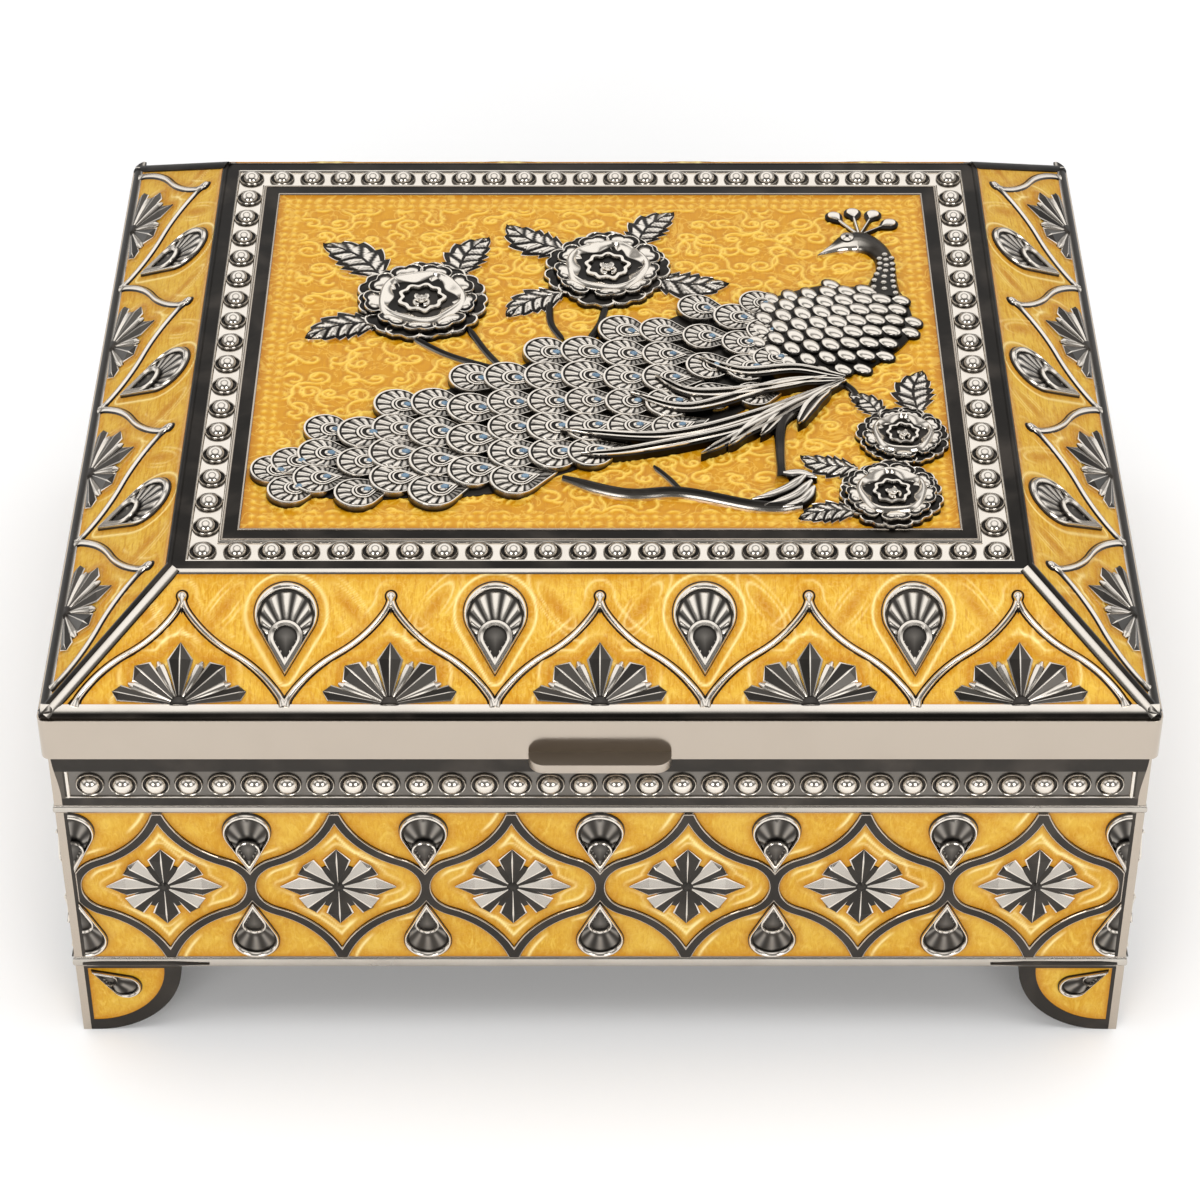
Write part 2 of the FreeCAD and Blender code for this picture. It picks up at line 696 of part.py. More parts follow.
def make_foot_cells():
    """Enamel and a slanting leaf in each of the eight foot cells."""
    enamel = slab(foot_cell(), size("foot_enamel_thick"))
    leaf = slab(teardrop(size("foot_leaf_radius"), size("foot_leaf_high")), size("foot_leaf_thick"))
    leaf_inset = size("foot_leaf_inset")
    leaf = shifted(turned(leaf, size("foot_leaf_slant")), -leaf_inset, -leaf_inset)
    floor = -size("foot_cell_deep")
    enamels = []
    leaves = []
    for side in SIDES:
        outer = value(SIDES[side][0]) / 2 - size("stile_wide")
        for group, piece, proud in ((enamels, enamel, floor),
                                    (leaves, leaf, floor + size("foot_enamel_thick"))):
            right = shifted(piece, outer, value(CELL_TOP))
            for copy in (right, flipped(right, RIGHT)):
                group.append(placed(copy, on_wall(side, proud)))
    feature_node("foot_enamel", Part.makeCompound(enamels))
    feature_node("foot_leaves", Part.makeCompound(leaves))


# Bottom plate, gussets, screws and padded linings

def corner_places():
    """Screws of the bottom plate, one near each inner corner, and the corner's signs."""
    x = f"({INNER_WIDE} / 2 - sizes.screw_inset)"
    y = f"({INNER_DEEP} / 2 - sizes.screw_inset)"
    return [(f"{a} * {x}", f"{b} * {y}", a, b) for a in (1, -1) for b in (1, -1)]


def bind_place(thing, x, y, z):
    for axis, expression in zip("xyz", (x, y, z)):
        thing.setExpression(f"Placement.Base.{axis}", str(expression))


def block(name, corner, extent):
    box = doc.addObject("Part::Box", name)
    for prop, expression in zip(("Length", "Width", "Height"), extent):
        box.setExpression(prop, expression)
    bind_place(box, *corner)
    return box


def centred_block(name, wide, deep, low, high):
    return block(name, (f"-({wide}) / 2", f"-({deep}) / 2", low), (wide, deep, high))


def rod(name, radius, length, place, lying=False):
    """A cylinder upwards from its place or, lying, along +X."""
    cylinder = doc.addObject("Part::Cylinder", name)
    cylinder.setExpression("Radius", radius)
    cylinder.setExpression("Height", length)
    if lying:
        cylinder.Placement = Placement(Vector(), Rotation(Vector(0, 1, 0), 90))
    bind_place(cylinder, *place)
    return cylinder


def fuse(name, shapes):
    union = doc.addObject("Part::MultiFuse", name)
    union.Shapes = shapes
    return union


def cut(name, base, tool):
    result = doc.addObject("Part::Cut", name)
    result.Base = base
    result.Tool = tool
    return result


def screw_form(name, x, y, clear):
    """A countersunk screw, or the hole for one, with its head level with the bottom plate."""
    shank_low = f"{PLATE_TOP} - sizes.screw_long - {clear}"
    shank = rod(f"{name}_shank", f"sizes.screw_radius + {clear}", f"sizes.screw_long + {clear}",
                (x, y, shank_low))
    head = doc.addObject("Part::Cone", f"{name}_head")
    head.setExpression("Radius1", f"sizes.screw_radius + {clear}")
    head.setExpression("Radius2", f"sizes.screw_head_radius + {clear}")
    head.setExpression("Height", "sizes.screw_head_high")
    bind_place(head, x, y, f"{PLATE_TOP} - sizes.screw_head_high")
    return fuse(name, [shank, head])


def make_gusset(name, x_sign, y_sign):
    """A three-cornered block soldered into a corner under the bottom plate."""
    body = doc.addObject("PartDesign::Body", name)
    half_turn = {(1, 1): 0, (-1, 1): 90, (-1, -1): 180, (1, -1): 270}[(x_sign, y_sign)]
    across = x_sign == y_sign
    body.Placement = Placement(Vector(), Rotation(UP, half_turn))
    sketch = new_sketch(body, "outline", "XY_Plane", "sizes.foot_high - sizes.gusset_high")
    x = f"{INNER_WIDE if across else INNER_DEEP} / 2"
    y = f"{INNER_DEEP if across else INNER_WIDE} / 2"
    right = value(x)
    back = value(y)
    leg = size("gusset_leg")
    edge = add_loop(sketch, [Vector(right, back), Vector(right - leg, back), Vector(right, back - leg)])
    constrain(sketch, "Horizontal", edge)
    constrain(sketch, "Vertical", edge + 2)
    constrain(sketch, "Equal", edge, edge + 2)
    measure(sketch, "DistanceX", (-1, 1, edge, 1), x)
    measure(sketch, "DistanceY", (-1, 1, edge, 1), y)
    measure(sketch, "DistanceX", (edge, 2, edge, 1), "sizes.gusset_leg")
    pad(body, sketch, "sizes.gusset_high")
    return body


def group_of(label, shapes):
    """Separate solids that share one node."""
    compound = doc.addObject("Part::Compound", label)
    compound.Links = shapes
    return node(compound, label)


def make_bottom():
    screws = []
    holes = []
    gussets = []
    for index, (x, y, x_sign, y_sign) in enumerate(corner_places()):
        screws.append(screw_form(f"bottom_screw_{index}", x, y, "0"))
        holes.append(screw_form(f"screw_hole_{index}", x, y, "sizes.screw_clear"))
        gusset = make_gusset(f"gusset_{index}", x_sign, y_sign)
        bore = screw_form(f"gusset_bore_{index}", x, y, "sizes.screw_clear")
        gussets.append(cut(f"bored_gusset_{index}", gusset, bore))
    wide = f"{INNER_WIDE} - 2 * sizes.plate_gap"
    deep = f"{INNER_DEEP} - 2 * sizes.plate_gap"
    plain = centred_block("plain_bottom", wide, deep, "sizes.foot_high", "sizes.plate_thick")
    node(cut("bottom_plate", plain, fuse("screw_holes", holes)), "bottom_plate")
    group_of("corner_gussets", gussets)
    group_of("bottom_screws", screws)
    node(centred_block("bottom_pad", wide, deep, PLATE_TOP, "sizes.pad_thick"), "bottom_pad")


# Lid

def hollow_section(body, name, level, wide, deep):
    sketch = new_sketch(body, name, "XY_Plane", level)
    level_rectangle(sketch, wide, deep)
    return sketch


def loft(body, kind, low, high):
    feature = body.newObject(f"PartDesign::{kind}", f"{low.Name}_loft")
    feature.Profile = low
    feature.Sections = [high]
    feature.Ruled = True
    body.Tip = feature


def round_edges(body, feature, direction, radius, wanted, picked=lambda point: True):
    """Fillet the edges of a feature that run in one direction and whose middles are picked."""
    doc.recompute()
    names = []
    for index, edge in enumerate(feature.Shape.Edges, 1):
        if len(edge.Vertexes) == 2:
            run = edge.Vertexes[1].Point - edge.Vertexes[0].Point
            if run.cross(direction).Length < 1e-6 * run.Length and picked(edge.CenterOfMass):
                names.append(f"Edge{index}")
    if len(names) != wanted:
        raise ValueError(f"{feature.Name}: {len(names)} edges to round, not {wanted}")
    fillet = body.newObject("PartDesign::Fillet", f"{feature.Name}_round")
    fillet.Base = (feature, names)
    fillet.setExpression("Radius", radius)
    body.Tip = fillet


def make_lid_shell():
    body = new_body("lid_shell")
    rim = hollow_section(body, "rim", "sizes.wall_top", "sizes.rim_wide", "sizes.rim_deep")
    band = pad(body, rim, "sizes.rim_high")
    round_edges(body, band, UP, "sizes.rim_round", 4)
    ledge = "2 * sizes.rim_ledge"
    low = hollow_section(body, "slope_low", RIM_TOP, f"sizes.rim_wide - {ledge}", f"sizes.rim_deep - {ledge}")
    high = hollow_section(body, "slope_high", LID_TOP, FLAT_WIDE, FLAT_DEEP)
    loft(body, "AdditiveLoft", low, high)
    inner_wide = "(sizes.rim_wide - 2 * sizes.rim_wall)"
    inner_deep = "(sizes.rim_deep - 2 * sizes.rim_wall)"
    hollow = hollow_section(body, "hollow", "sizes.wall_top", inner_wide, inner_deep)
    pocket(body, hollow, "sizes.rim_high", backwards=True)
    inner_low = hollow_section(body, "inner_low", RIM_TOP, inner_wide, inner_deep)
    inner_high = hollow_section(body, "inner_high", f"{LID_TOP} - sizes.roof_thick",
                                f"{FLAT_WIDE} + 2 * {ROOF_SHIFT}", f"{FLAT_DEEP} + 2 * {ROOF_SHIFT}")
    loft(body, "SubtractiveLoft", inner_low, inner_high)
    channel = new_sketch(body, "channel", "XY_Plane", LID_TOP)
    frame_rectangles(channel)
    pocket(body, channel, "sizes.channel_deep")
    panel = hollow_section(body, "panel", LID_TOP, f"{FLAT_WIDE} - 2 * {PANEL_INSET}",
                           f"{FLAT_DEEP} - 2 * {PANEL_INSET}")
    pocket(body, panel, "sizes.panel_deep")


def frame_rectangles(sketch):
    """The two edges of the lid's bead channel."""
    for inset in ("sizes.top_border", "(sizes.top_border + sizes.lid_channel_wide)"):
        level_rectangle(sketch, f"{FLAT_WIDE} - 2 * {inset}", f"{FLAT_DEEP} - 2 * {inset}")


def make_lid_beads():
    body = new_body("lid_bead_frame")
    floor = f"{LID_TOP} - sizes.channel_deep"
    ground = new_sketch(body, "ground", "XY_Plane", floor)
    frame_rectangles(ground)
    pad(body, ground, "sizes.strip_thick")
    inset = "(sizes.top_border + sizes.lid_channel_wide / 2)"
    right = f"({FLAT_WIDE} / 2 - {inset})"
    back = f"({FLAT_DEEP} / 2 - {inset})"
    level = f"{floor} + sizes.strip_thick"
    step = f"(2 * {back} / (sizes.lid_side_beads - 1))"
    for name, sign in (("front", "-1"), ("rear", "1")):
        start = (f"-{right}", f"{sign} * {back}", level)
        bead_row(body, name, "XY_Plane", start, "sizes.lid_bead_radius", "X_Axis",
                 f"2 * {right}", "sizes.lid_front_beads")
    for name, sign in (("left", "-1"), ("right", "1")):
        start = (f"{sign} * {right}", f"{step} - {back}", level)
        bead_row(body, name, "XY_Plane", start, "sizes.lid_bead_radius", "Y_Axis",
                 f"2 * {back} - 2 * {step}", "sizes.lid_side_beads - 2")


def make_lid_plates():
    """The panel's enamel and the padded lining under the flat top."""
    inset = f"2 * {PANEL_INSET}"
    node(centred_block("panel_enamel", f"{FLAT_WIDE} - {inset}", f"{FLAT_DEEP} - {inset}",
                       f"{LID_TOP} - sizes.panel_deep", "sizes.panel_enamel_thick"), "panel_enamel")
    shift = f"2 * ({ROOF_SHIFT} - sizes.lid_pad_gap)"
    node(centred_block("lid_lining", f"{FLAT_WIDE} + {shift}", f"{FLAT_DEEP} + {shift}",
                       f"{LID_TOP} - sizes.roof_thick - sizes.lid_pad_thick", "sizes.lid_pad_thick"),
         "lid_lining")


def make_thumb_tab():
    body = new_body("thumb_tab")
    sketch = new_sketch(body, "outline", "XZ_Plane", "sizes.rim_deep / 2")
    upright_rectangle(sketch, "sizes.tab_wide", "sizes.wall_top", "sizes.tab_high")
    lip = pad(body, sketch, "sizes.tab_proud")
    middle = -value("sizes.rim_deep / 2 + sizes.tab_proud / 2")
    round_edges(body, lip, UP, "sizes.tab_round", 2, lambda point: point.y < middle)


# Ornament of the lid's slopes

PALMETTE_PETALS = 5
# Degrees from upright to the outermost petal, and a petal's shape as shares of its reach
PALMETTE_SPREAD = 72
PALMETTE_HALF_SHARE = 0.22
PALMETTE_WAIST_SHARE = 0.72
SLOPE_PLAN = size("bevel_inset") - size("rim_ledge")
SLOPE_LONG = math.hypot(SLOPE_PLAN, size("bevel_rise"))


def slope_half(side, up):
    """Half the length of a slope at a height up along it."""
    full = size("rim_wide") if side in ACROSS else size("rim_deep")
    return full / 2 - size("rim_ledge") - SLOPE_PLAN * up / SLOPE_LONG


def slope_outline(side, low, high, inset):
    return polygon([
        Vector(-slope_half(side, low) + inset, low),
        Vector(slope_half(side, low) - inset, low),
        Vector(slope_half(side, high) - inset, high),
        Vector(-slope_half(side, high) + inset, high),
    ])


def slope_field(side):
    """The part of a slope that lies inside its frame."""
    low = size("slope_margin") + size("frame_low_wide")
    return slope_outline(side, low, SLOPE_LONG - size("frame_side_wide"), size("frame_side_wide"))


def bay_centres(side):
    count = int(size("front_bays") if side in ACROSS else size("side_bays"))
    full = size("rim_wide") if side in ACROSS else size("rim_deep")
    span = full - 2 * size("arch_margin")
    half = span / count / 2
    return [(2 * index + 1) * half - span / 2 for index in range(count)], half


def arch_half(half_wide):
    """The rib from the left foot of an arch to its point: upright ends with two equal arcs between."""
    high = size("arch_high")
    chord = math.atan2(high, half_wide)
    flare = chord - math.radians(size("arch_flat"))
    steep = chord + math.radians(size("arch_rise"))
    end_across = 2 * (1 - math.sin(steep))
    end_up = 2 * math.cos(steep)
    across = 2 * (math.sin(steep) - math.sin(flare))
    up = 2 * (math.cos(flare) - math.cos(steep))
    shared = across * end_up - end_across * up
    end_radius = (across * high - up * half_wide) / shared
    radius = (end_up * half_wide - end_across * high) / shared
    bend = math.degrees(steep - flare)
    end_bend = 90 - math.degrees(steep)
    turns = [(end_radius, -end_bend), (radius, -bend), (radius, bend), (end_radius, end_bend)]
    return strap(Vector(-half_wide, size("slope_margin")), 90, turns, size("arch_wide"))


def make_slope(side):
    """Enamel of one slope and the frame with its arched ribs round it."""
    field = slope_field(side)
    enamel = slab(field, size("slope_enamel_thick"))
    feature_node(f"{side}_slope_enamel", placed(enamel, on_slope(side, 0)))
    thick = size("frame_thick")
    whole = slope_outline(side, size("slope_margin"), SLOPE_LONG, 0)
    frame = slab(whole, thick).cut(slab(field, thick))
    centres, half = bay_centres(side)
    rib = arch_half(half)
    ribs = []
    for x in centres:
        ribs += [shifted(rib, x, 0), shifted(flipped(rib, RIGHT), x, 0)]
    rise = size("slope_enamel_thick")
    raised = [shifted(slab(piece, thick - rise), 0, 0, rise) for piece in ribs]
    inside = shifted(slab(field, thick - rise), 0, 0, rise)
    arches = joined(raised).common(inside)
    feature_node(f"{side}_slope_frame", placed(frame.fuse(arches).removeSplitter(), on_slope(side, 0)))


def palmette():
    """Petals that spread from a pointed boss on the frame."""
    reach = size("palmette_reach")
    petals = [polygon([Vector(-reach / 4, 0), Vector(reach / 4, 0), Vector(0, reach / 2)])]
    blade = polygon(kite(PALMETTE_HALF_SHARE * reach, PALMETTE_WAIST_SHARE * reach, reach))
    for index in range(PALMETTE_PETALS):
        lean = PALMETTE_SPREAD * (1 - 2 * index / (PALMETTE_PETALS - 1))
        petals.append(turned(blade, lean))
    return slab(joined(petals), size("palmette_thick"))


def make_slope_ornament():
    """All palmettes under the arches and all teardrops between them."""
    fan = palmette()
    drop = rimmed_drop(size("teardrop_radius"), size("teardrop_high"), size("teardrop_rim"),
                       size("teardrop_thick"))
    low = size("slope_margin") + size("frame_low_wide")
    fans = []
    drops = []
    for side in SIDES:
        centres, half = bay_centres(side)
        place = on_slope(side, size("slope_enamel_thick"))
        for x in centres:
            fans.append(placed(shifted(fan, x, low), place))
        for x in centres[1:]:
            drops.append(placed(shifted(drop, x - half, size("teardrop_low")), place))
    feature_node("slope_palmettes", Part.makeCompound(fans))
    feature_node("slope_teardrops", Part.makeCompound(drops))


# Relief on the lid's panel, drawn in plan from the middle of a panel of the drawn size

DRAWN_WIDE = 117.8
DRAWN_DEEP = 97.8
PANEL_WIDE = value(FLAT_WIDE) - 2 * value(PANEL_INSET)
PANEL_LONG = value(FLAT_DEEP) - 2 * value(PANEL_INSET)
PANEL_SCALE = min(PANEL_WIDE / DRAWN_WIDE, PANEL_LONG / DRAWN_DEEP)
BIRD_BODY = [(25, 6), (31, 15.5), (40, 19.5), (48, 20), (54.5, 14), (54, 4), (48, -3.5), (39, -7.5), (29, -4)]
NECK = ((50.5, 18), (52, 28.5), (45.5, 34.5))
NECK_WIDE = 4.0
HEAD = (44.6, 33.6)
HEAD_RADIUS = 3.2
BEAK_TIP = (38.6, 30)
TRAIN = [
    (26, 14.5), (9, 9.5), (-8, 1.5), (-24, -8), (-40, -19), (-52, -28.5), (-57, -36.5), (-48, -41.5),
    (-30, -42), (-14, -39), (-3, -33), (14, -25), (30, -15), (36, -6), (31, 6),
]
QUILLS = [
    ((42, -8.5), (30, -7), (17, -3.5)),
    ((42, -9.5), (24, -14), (5, -14)),
    ((42, -10), (20, -22.5), (-6, -24.5)),
    ((40, -11.5), (20, -25), (-3, -30.5)),
    ((42, -10), (31, -19.5), (17, -30.5)),
]
LEG = ((30.2, -16), (30, -27), (30.4, -38))
LEG_WIDE = 2.6
BRANCH = ((-6, -36), (12, -40.5), (32, -42.5))
TWIG = ((13, -39.5), (11.5, -36), (9, -33))
BLOSSOMS = [((-31.5, 14.5), 11.5), ((1.3, 24.2), 11.2), ((51, -24.8), 7.2), ((48.2, -40.5), 8.2)]
LEAVES = [
    ((-39, 22), (-50, 32.5)), ((-25.5, 22.5), (-20, 34.5)), ((-39, 8), (-51.5, 3.5)),
    ((-6, 30), (-17, 38.5)), ((-6.5, 17), (-16.5, 10)), ((6.5, 32), (13.5, 42.5)), ((9.5, 21.5), (23, 20)),
    ((54, -18), (55.6, -6)), ((47.5, -19), (42.5, -12.5)), ((43, -33.5), (33.5, -30)), ((42, -45), (32.5, -46.8)),
]
STEMS = [
    ((-33, 4), (-26, -1.5), (-15.5, -6.5)), ((-23, 6.5), (-20, 0), (-17, -5)),
    ((-9, 14), (-8.6, 8), (-6.5, 3)), ((1, 13), (0, 8), (-2, 3)), ((41.5, -9), (43.5, -12), (44, -15.5)),
]
LEAF_SHARE = 0.22
# Rings of a blossom: reach as a share of its radius, petals in the ring and the ring's thickness
BLOSSOM_RINGS = ((1.0, 9, "blossom_rim_thick"), (0.66, 7, "blossom_thick"))
LOBE_SHARE = 0.27


def point(pair):
    """A drawn point, moved with the size of the panel."""
    return Vector(pair[0] * PANEL_WIDE / DRAWN_WIDE, pair[1] * PANEL_LONG / DRAWN_DEEP)


def smooth(points):
    curve = Part.BSplineCurve()
    curve.interpolate([point(pair) for pair in points], PeriodicFlag=True)
    return outline([curve.toShape()])


def bent_bar(points, wide):
    """A flat bar of even width along the arc through three points."""
    circle = Part.Circle(*[point(pair) for pair in points])
    sides = []
    for offset in (wide / 2, -wide / 2):
        scale = (circle.Radius + offset) / circle.Radius
        sides.append([circle.Center + (point(pair) - circle.Center) * scale for pair in points])
    outer, inner = sides
    return outline([
        Part.Arc(*outer).toShape(),
        Part.LineSegment(outer[2], inner[2]).toShape(),
        Part.Arc(*reversed(inner)).toShape(),
        Part.LineSegment(inner[0], outer[0]).toShape(),
    ])


def lens(root, tip, half_wide):
    """A leaf with two round edges between its root and its tip."""
    along = point(tip) - point(root)
    middle = point(root) + along * 0.5
    across = Vector(-along.y, along.x).normalize() * half_wide
    return outline([
        Part.Arc(point(root), middle + across, point(tip)).toShape(),
        Part.Arc(point(tip), middle - across, point(root)).toShape(),
    ])


def quill(points):
    """A quill that tapers to both ends along an arc."""
    across = point(points[2]) - point(points[0])
    across = Vector(-across.y, across.x).normalize() * (size("quill_wide") / 2)
    root, middle, tip = [point(pair) for pair in points]
    return outline([
        Part.Arc(root, middle + across, tip).toShape(),
        Part.Arc(tip, middle - across, root).toShape(),
    ])


def blossom(radius):
    """A ring of round petals with a smaller, higher ring of petals on it."""
    layers = []
    for share, count, thickness in BLOSSOM_RINGS:
        thick = size(thickness)
        lobe = LOBE_SHARE * radius * share
        ring = radius * share - lobe
        layers.append(Part.makeCylinder(ring, thick))
        for index in range(count):
            angle = 2 * math.pi * index / count
            place = Vector(ring * math.cos(angle), ring * math.sin(angle))
            layers.append(Part.makeCylinder(lobe, thick, place))
    return joined(layers)


def make_relief():
    ground = on_panel(size("panel_enamel_thick") - size("panel_deep"))
    head_radius = HEAD_RADIUS * PANEL_SCALE
    head = Part.makeCylinder(head_radius, size("bird_thick"), point(HEAD))
    beak = lens(HEAD, BEAK_TIP, head_radius / 2)
    flat_parts = [smooth(BIRD_BODY), bent_bar(NECK, NECK_WIDE * PANEL_SCALE), beak]
    bird = joined([slab(part, size("bird_thick")) for part in flat_parts] + [head])
    leg = slab(bent_bar(LEG, LEG_WIDE * PANEL_SCALE), size("bird_thick"))
    train = slab(smooth(TRAIN), size("train_thick"))
    quills = joined([slab(quill(points), size("quill_thick")) for points in QUILLS])
    places = [(point(middle), radius * PANEL_SCALE) for middle, radius in BLOSSOMS]
    flowers = joined([shifted(blossom(radius), place.x, place.y) for place, radius in places])
    stems = [bent_bar(points, size("stem_wide")) for points in STEMS + [TWIG]]
    stems.append(bent_bar(BRANCH, size("branch_wide")))
    for root, tip in LEAVES:
        stems.append(lens(root, tip, LEAF_SHARE * (point(tip) - point(root)).Length))
    greens = joined([slab(part, size("leaf_thick")) for part in stems])
    # Each piece gives way to the ones that lie over it
    limits = slab(panel_limits(), size("bird_thick"))
    quills = quills.cut(bird)
    leg = leg.cut(joined([quills, bird]))
    train = train.cut(joined([quills, bird, leg]))
    flowers = flowers.common(limits)
    greens = greens.cut(joined([flowers, quills, bird, leg, train])).common(limits)
    for label, shape in (("bird_body", bird), ("bird_leg", leg), ("bird_train", train),
                         ("bird_quills", quills), ("blossoms", flowers), ("leaves_and_branch", greens)):
        feature_node(label, placed(solids(shape), ground))


def panel_limits():
    return rectangle(-PANEL_WIDE / 2, -PANEL_LONG / 2, PANEL_WIDE / 2, PANEL_LONG / 2)


# Hinges

def hinge_rod(name, radius, start, length):
    """A cylinder on the hinge axis."""
    return rod(name, radius, length, (start, HINGE_Y, "sizes.wall_top"), lying=True)


def make_hinge(side, sign):
    """Knuckles on the body and on the lid round one pin along X."""
    middle = f"({sign} * sizes.hinge_apart / 2)"
    left = f"({middle} - sizes.hinge_long / 2)"
    right_knuckle = f"({middle} + sizes.hinge_long / 2 - sizes.body_knuckle_long)"
    lid_left = f"({left} + sizes.body_knuckle_long + sizes.knuckle_gap)"
    lid_long = "(sizes.hinge_long - 2 * sizes.body_knuckle_long - 2 * sizes.knuckle_gap)"
    wall_face = f"({BODY_DEEP} / 2)"
    body_low = "(sizes.wall_top - sizes.top_band + sizes.plate_drop)"
    body_high = f"(sizes.wall_top - sizes.plate_drop - {body_low})"
    knuckles = [block(f"{side}_body_plate", (left, wall_face, body_low),
                      ("sizes.hinge_long", f"sizes.rim_deep / 2 - {wall_face}", body_high))]
    for name, start in (("a", left), ("b", right_knuckle)):
        neck_low = "sizes.wall_top - sizes.barrel_radius"
        knuckles.append(block(f"{side}_neck_{name}", (start, wall_face, neck_low),
                              ("sizes.body_knuckle_long", f"{HINGE_Y} - {wall_face}",
                               "sizes.barrel_radius - sizes.plate_drop")))
        knuckles.append(hinge_rod(f"{side}_barrel_{name}", "sizes.barrel_radius", start,
                                  "sizes.body_knuckle_long"))
    bore = "sizes.pin_radius + sizes.pin_clear"
    through = hinge_rod(f"{side}_body_bore", bore, left, "sizes.hinge_long")
    body = cut(f"{side}_body_knuckle", fuse(f"{side}_body_blank", knuckles), through)
    node(body, f"{side}_body_knuckle")
    rim_face = "sizes.rim_deep / 2"
    plate_low = "(sizes.wall_top + sizes.barrel_radius + sizes.knuckle_gap)"
    parts = [
        block(f"{side}_lid_plate", (left, rim_face, plate_low),
              ("sizes.hinge_long", "sizes.hinge_plate_thick", "sizes.lid_plate_high")),
        block(f"{side}_lid_neck", (lid_left, rim_face, "sizes.wall_top"),
              (lid_long, "sizes.barrel_gap + sizes.barrel_radius", f"{plate_low} - sizes.wall_top")),
        block(f"{side}_heel", (lid_left, HINGE_Y, "sizes.wall_top - sizes.heel_drop"),
              (lid_long, "sizes.barrel_radius", "sizes.heel_drop")),
        hinge_rod(f"{side}_lid_barrel", "sizes.barrel_radius", lid_left, lid_long),
    ]
    lid_bore = hinge_rod(f"{side}_lid_bore", bore, lid_left, lid_long)
    lid = cut(f"{side}_lid_knuckle", fuse(f"{side}_lid_blank", parts), lid_bore)
    node(lid, f"{side}_lid_knuckle")
    pin = hinge_rod(f"{side}_hinge_pin", "sizes.pin_radius", f"{left} - sizes.pin_end",
                    "sizes.hinge_long + 2 * sizes.pin_end")
    node(pin, f"{side}_hinge_pin")


for side in SIDES:
    make_wall(side)
    make_bead_strip(side)
    make_wall_enamel(side)
    make_lattice(side)
    make_wall_lining(side)
make_rosettes()
make_drops()
make_foot_cells()
make_bottom()
make_lid_shell()
make_lid_beads()
make_lid_plates()
make_thumb_tab()
for side in SIDES:
    make_slope(side)
make_slope_ornament()
make_relief()
for side, sign in (("left", -1), ("right", 1)):
    make_hinge(side, sign)
doc.recompute()

for thing in doc.Objects:
    if "Invalid" in thing.State or "Error" in thing.State:
        raise ValueError(f"{thing.Name} failed: {thing.State}")
for thing in nodes:
    if thing.Shape.isNull() or not thing.Shape.isValid() or not thing.Shape.Solids:
        raise ValueError(f"{thing.Label} has no valid shape")

os.makedirs("parts", exist_ok=True)
for thing in nodes:
    thing.Shape.exportStep(os.path.join("parts", f"{thing.Label}.step"))
print(len(nodes), "nodes written")
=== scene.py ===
import math

import bmesh
import bpy
import numpy as np
from mathutils import Matrix, Vector
from mathutils.kdtree import KDTree


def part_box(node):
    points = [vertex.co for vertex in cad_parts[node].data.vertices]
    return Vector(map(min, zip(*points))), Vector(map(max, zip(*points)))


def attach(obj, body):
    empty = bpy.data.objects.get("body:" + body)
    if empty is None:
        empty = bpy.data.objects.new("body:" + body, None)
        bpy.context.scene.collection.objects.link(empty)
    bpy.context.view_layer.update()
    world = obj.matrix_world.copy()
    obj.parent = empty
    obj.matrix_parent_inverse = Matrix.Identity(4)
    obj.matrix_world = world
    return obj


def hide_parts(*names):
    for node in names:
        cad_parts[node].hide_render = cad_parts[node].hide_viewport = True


# Keepsake box: cast metal with enamel fields, beaded borders and a relief on its hinged lid.
# Drawings are in millimetres, flat, with z standing proud; a seat carries a drawing to the frame.

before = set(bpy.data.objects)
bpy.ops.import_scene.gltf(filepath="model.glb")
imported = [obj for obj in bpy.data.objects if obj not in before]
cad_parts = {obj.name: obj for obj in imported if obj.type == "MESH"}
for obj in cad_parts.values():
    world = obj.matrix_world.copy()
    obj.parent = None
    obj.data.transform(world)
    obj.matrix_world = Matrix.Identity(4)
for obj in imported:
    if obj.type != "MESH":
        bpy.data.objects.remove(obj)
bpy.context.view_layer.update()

MM = 0.001
QUARTER = math.pi / 2


def corners(node):
    """Lowest and highest corner of a CAD node, in millimetres."""
    low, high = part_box(node)
    return np.array(low) / MM, np.array(high) / MM


WALL_LOW, WALL_HIGH = corners("front_wall")
SIDE_WALL_HIGH = corners("right_wall")[1]
FIELD_LOW, FIELD_HIGH = corners("front_enamel")
STRIP_LOW, STRIP_HIGH = corners("front_bead_strip")
LID_LOW, LID_HIGH = corners("lid_shell")
PANEL_HIGH = corners("panel_enamel")[1]
BEAD_FRAME_HIGH = corners("lid_bead_frame")[1]
FOOT_CELL_LOW, FOOT_CELL_HIGH = corners("foot_enamel")

# Each side: quarter turns from the front, half its length and its reach from the middle
SIDES = {
    "front": (0, WALL_HIGH[0], -WALL_LOW[1]),
    "right": (1, SIDE_WALL_HIGH[1], SIDE_WALL_HIGH[0]),
    "rear": (2, WALL_HIGH[0], -WALL_LOW[1]),
    "left": (3, SIDE_WALL_HIGH[1], SIDE_WALL_HIGH[0]),
}
ACROSS = ("front", "rear")
STILE_WIDE = WALL_HIGH[0] - FIELD_HIGH[0]
FIELD_TALL = FIELD_HIGH[2] - FIELD_LOW[2]
FIELD_MIDDLE = (FIELD_HIGH[2] + FIELD_LOW[2]) / 2
STRIP_TALL = STRIP_HIGH[2] - STRIP_LOW[2]


# Seats: where a flat drawing lies on the box

def seat_matrix(place, turn, lean):
    """A drawing leaned back about X, set at a place of the front and turned to a side."""
    matrix = Matrix.Rotation(turn * QUARTER, 4, "Z") @ Matrix.Translation(place)
    return np.array(matrix @ Matrix.Rotation(lean, 4, "X"))


def wall_seat(side, proud=0.0):
    turn, _, reach = SIDES[side]
    return seat_matrix((0, -reach - proud, 0), turn, QUARTER)


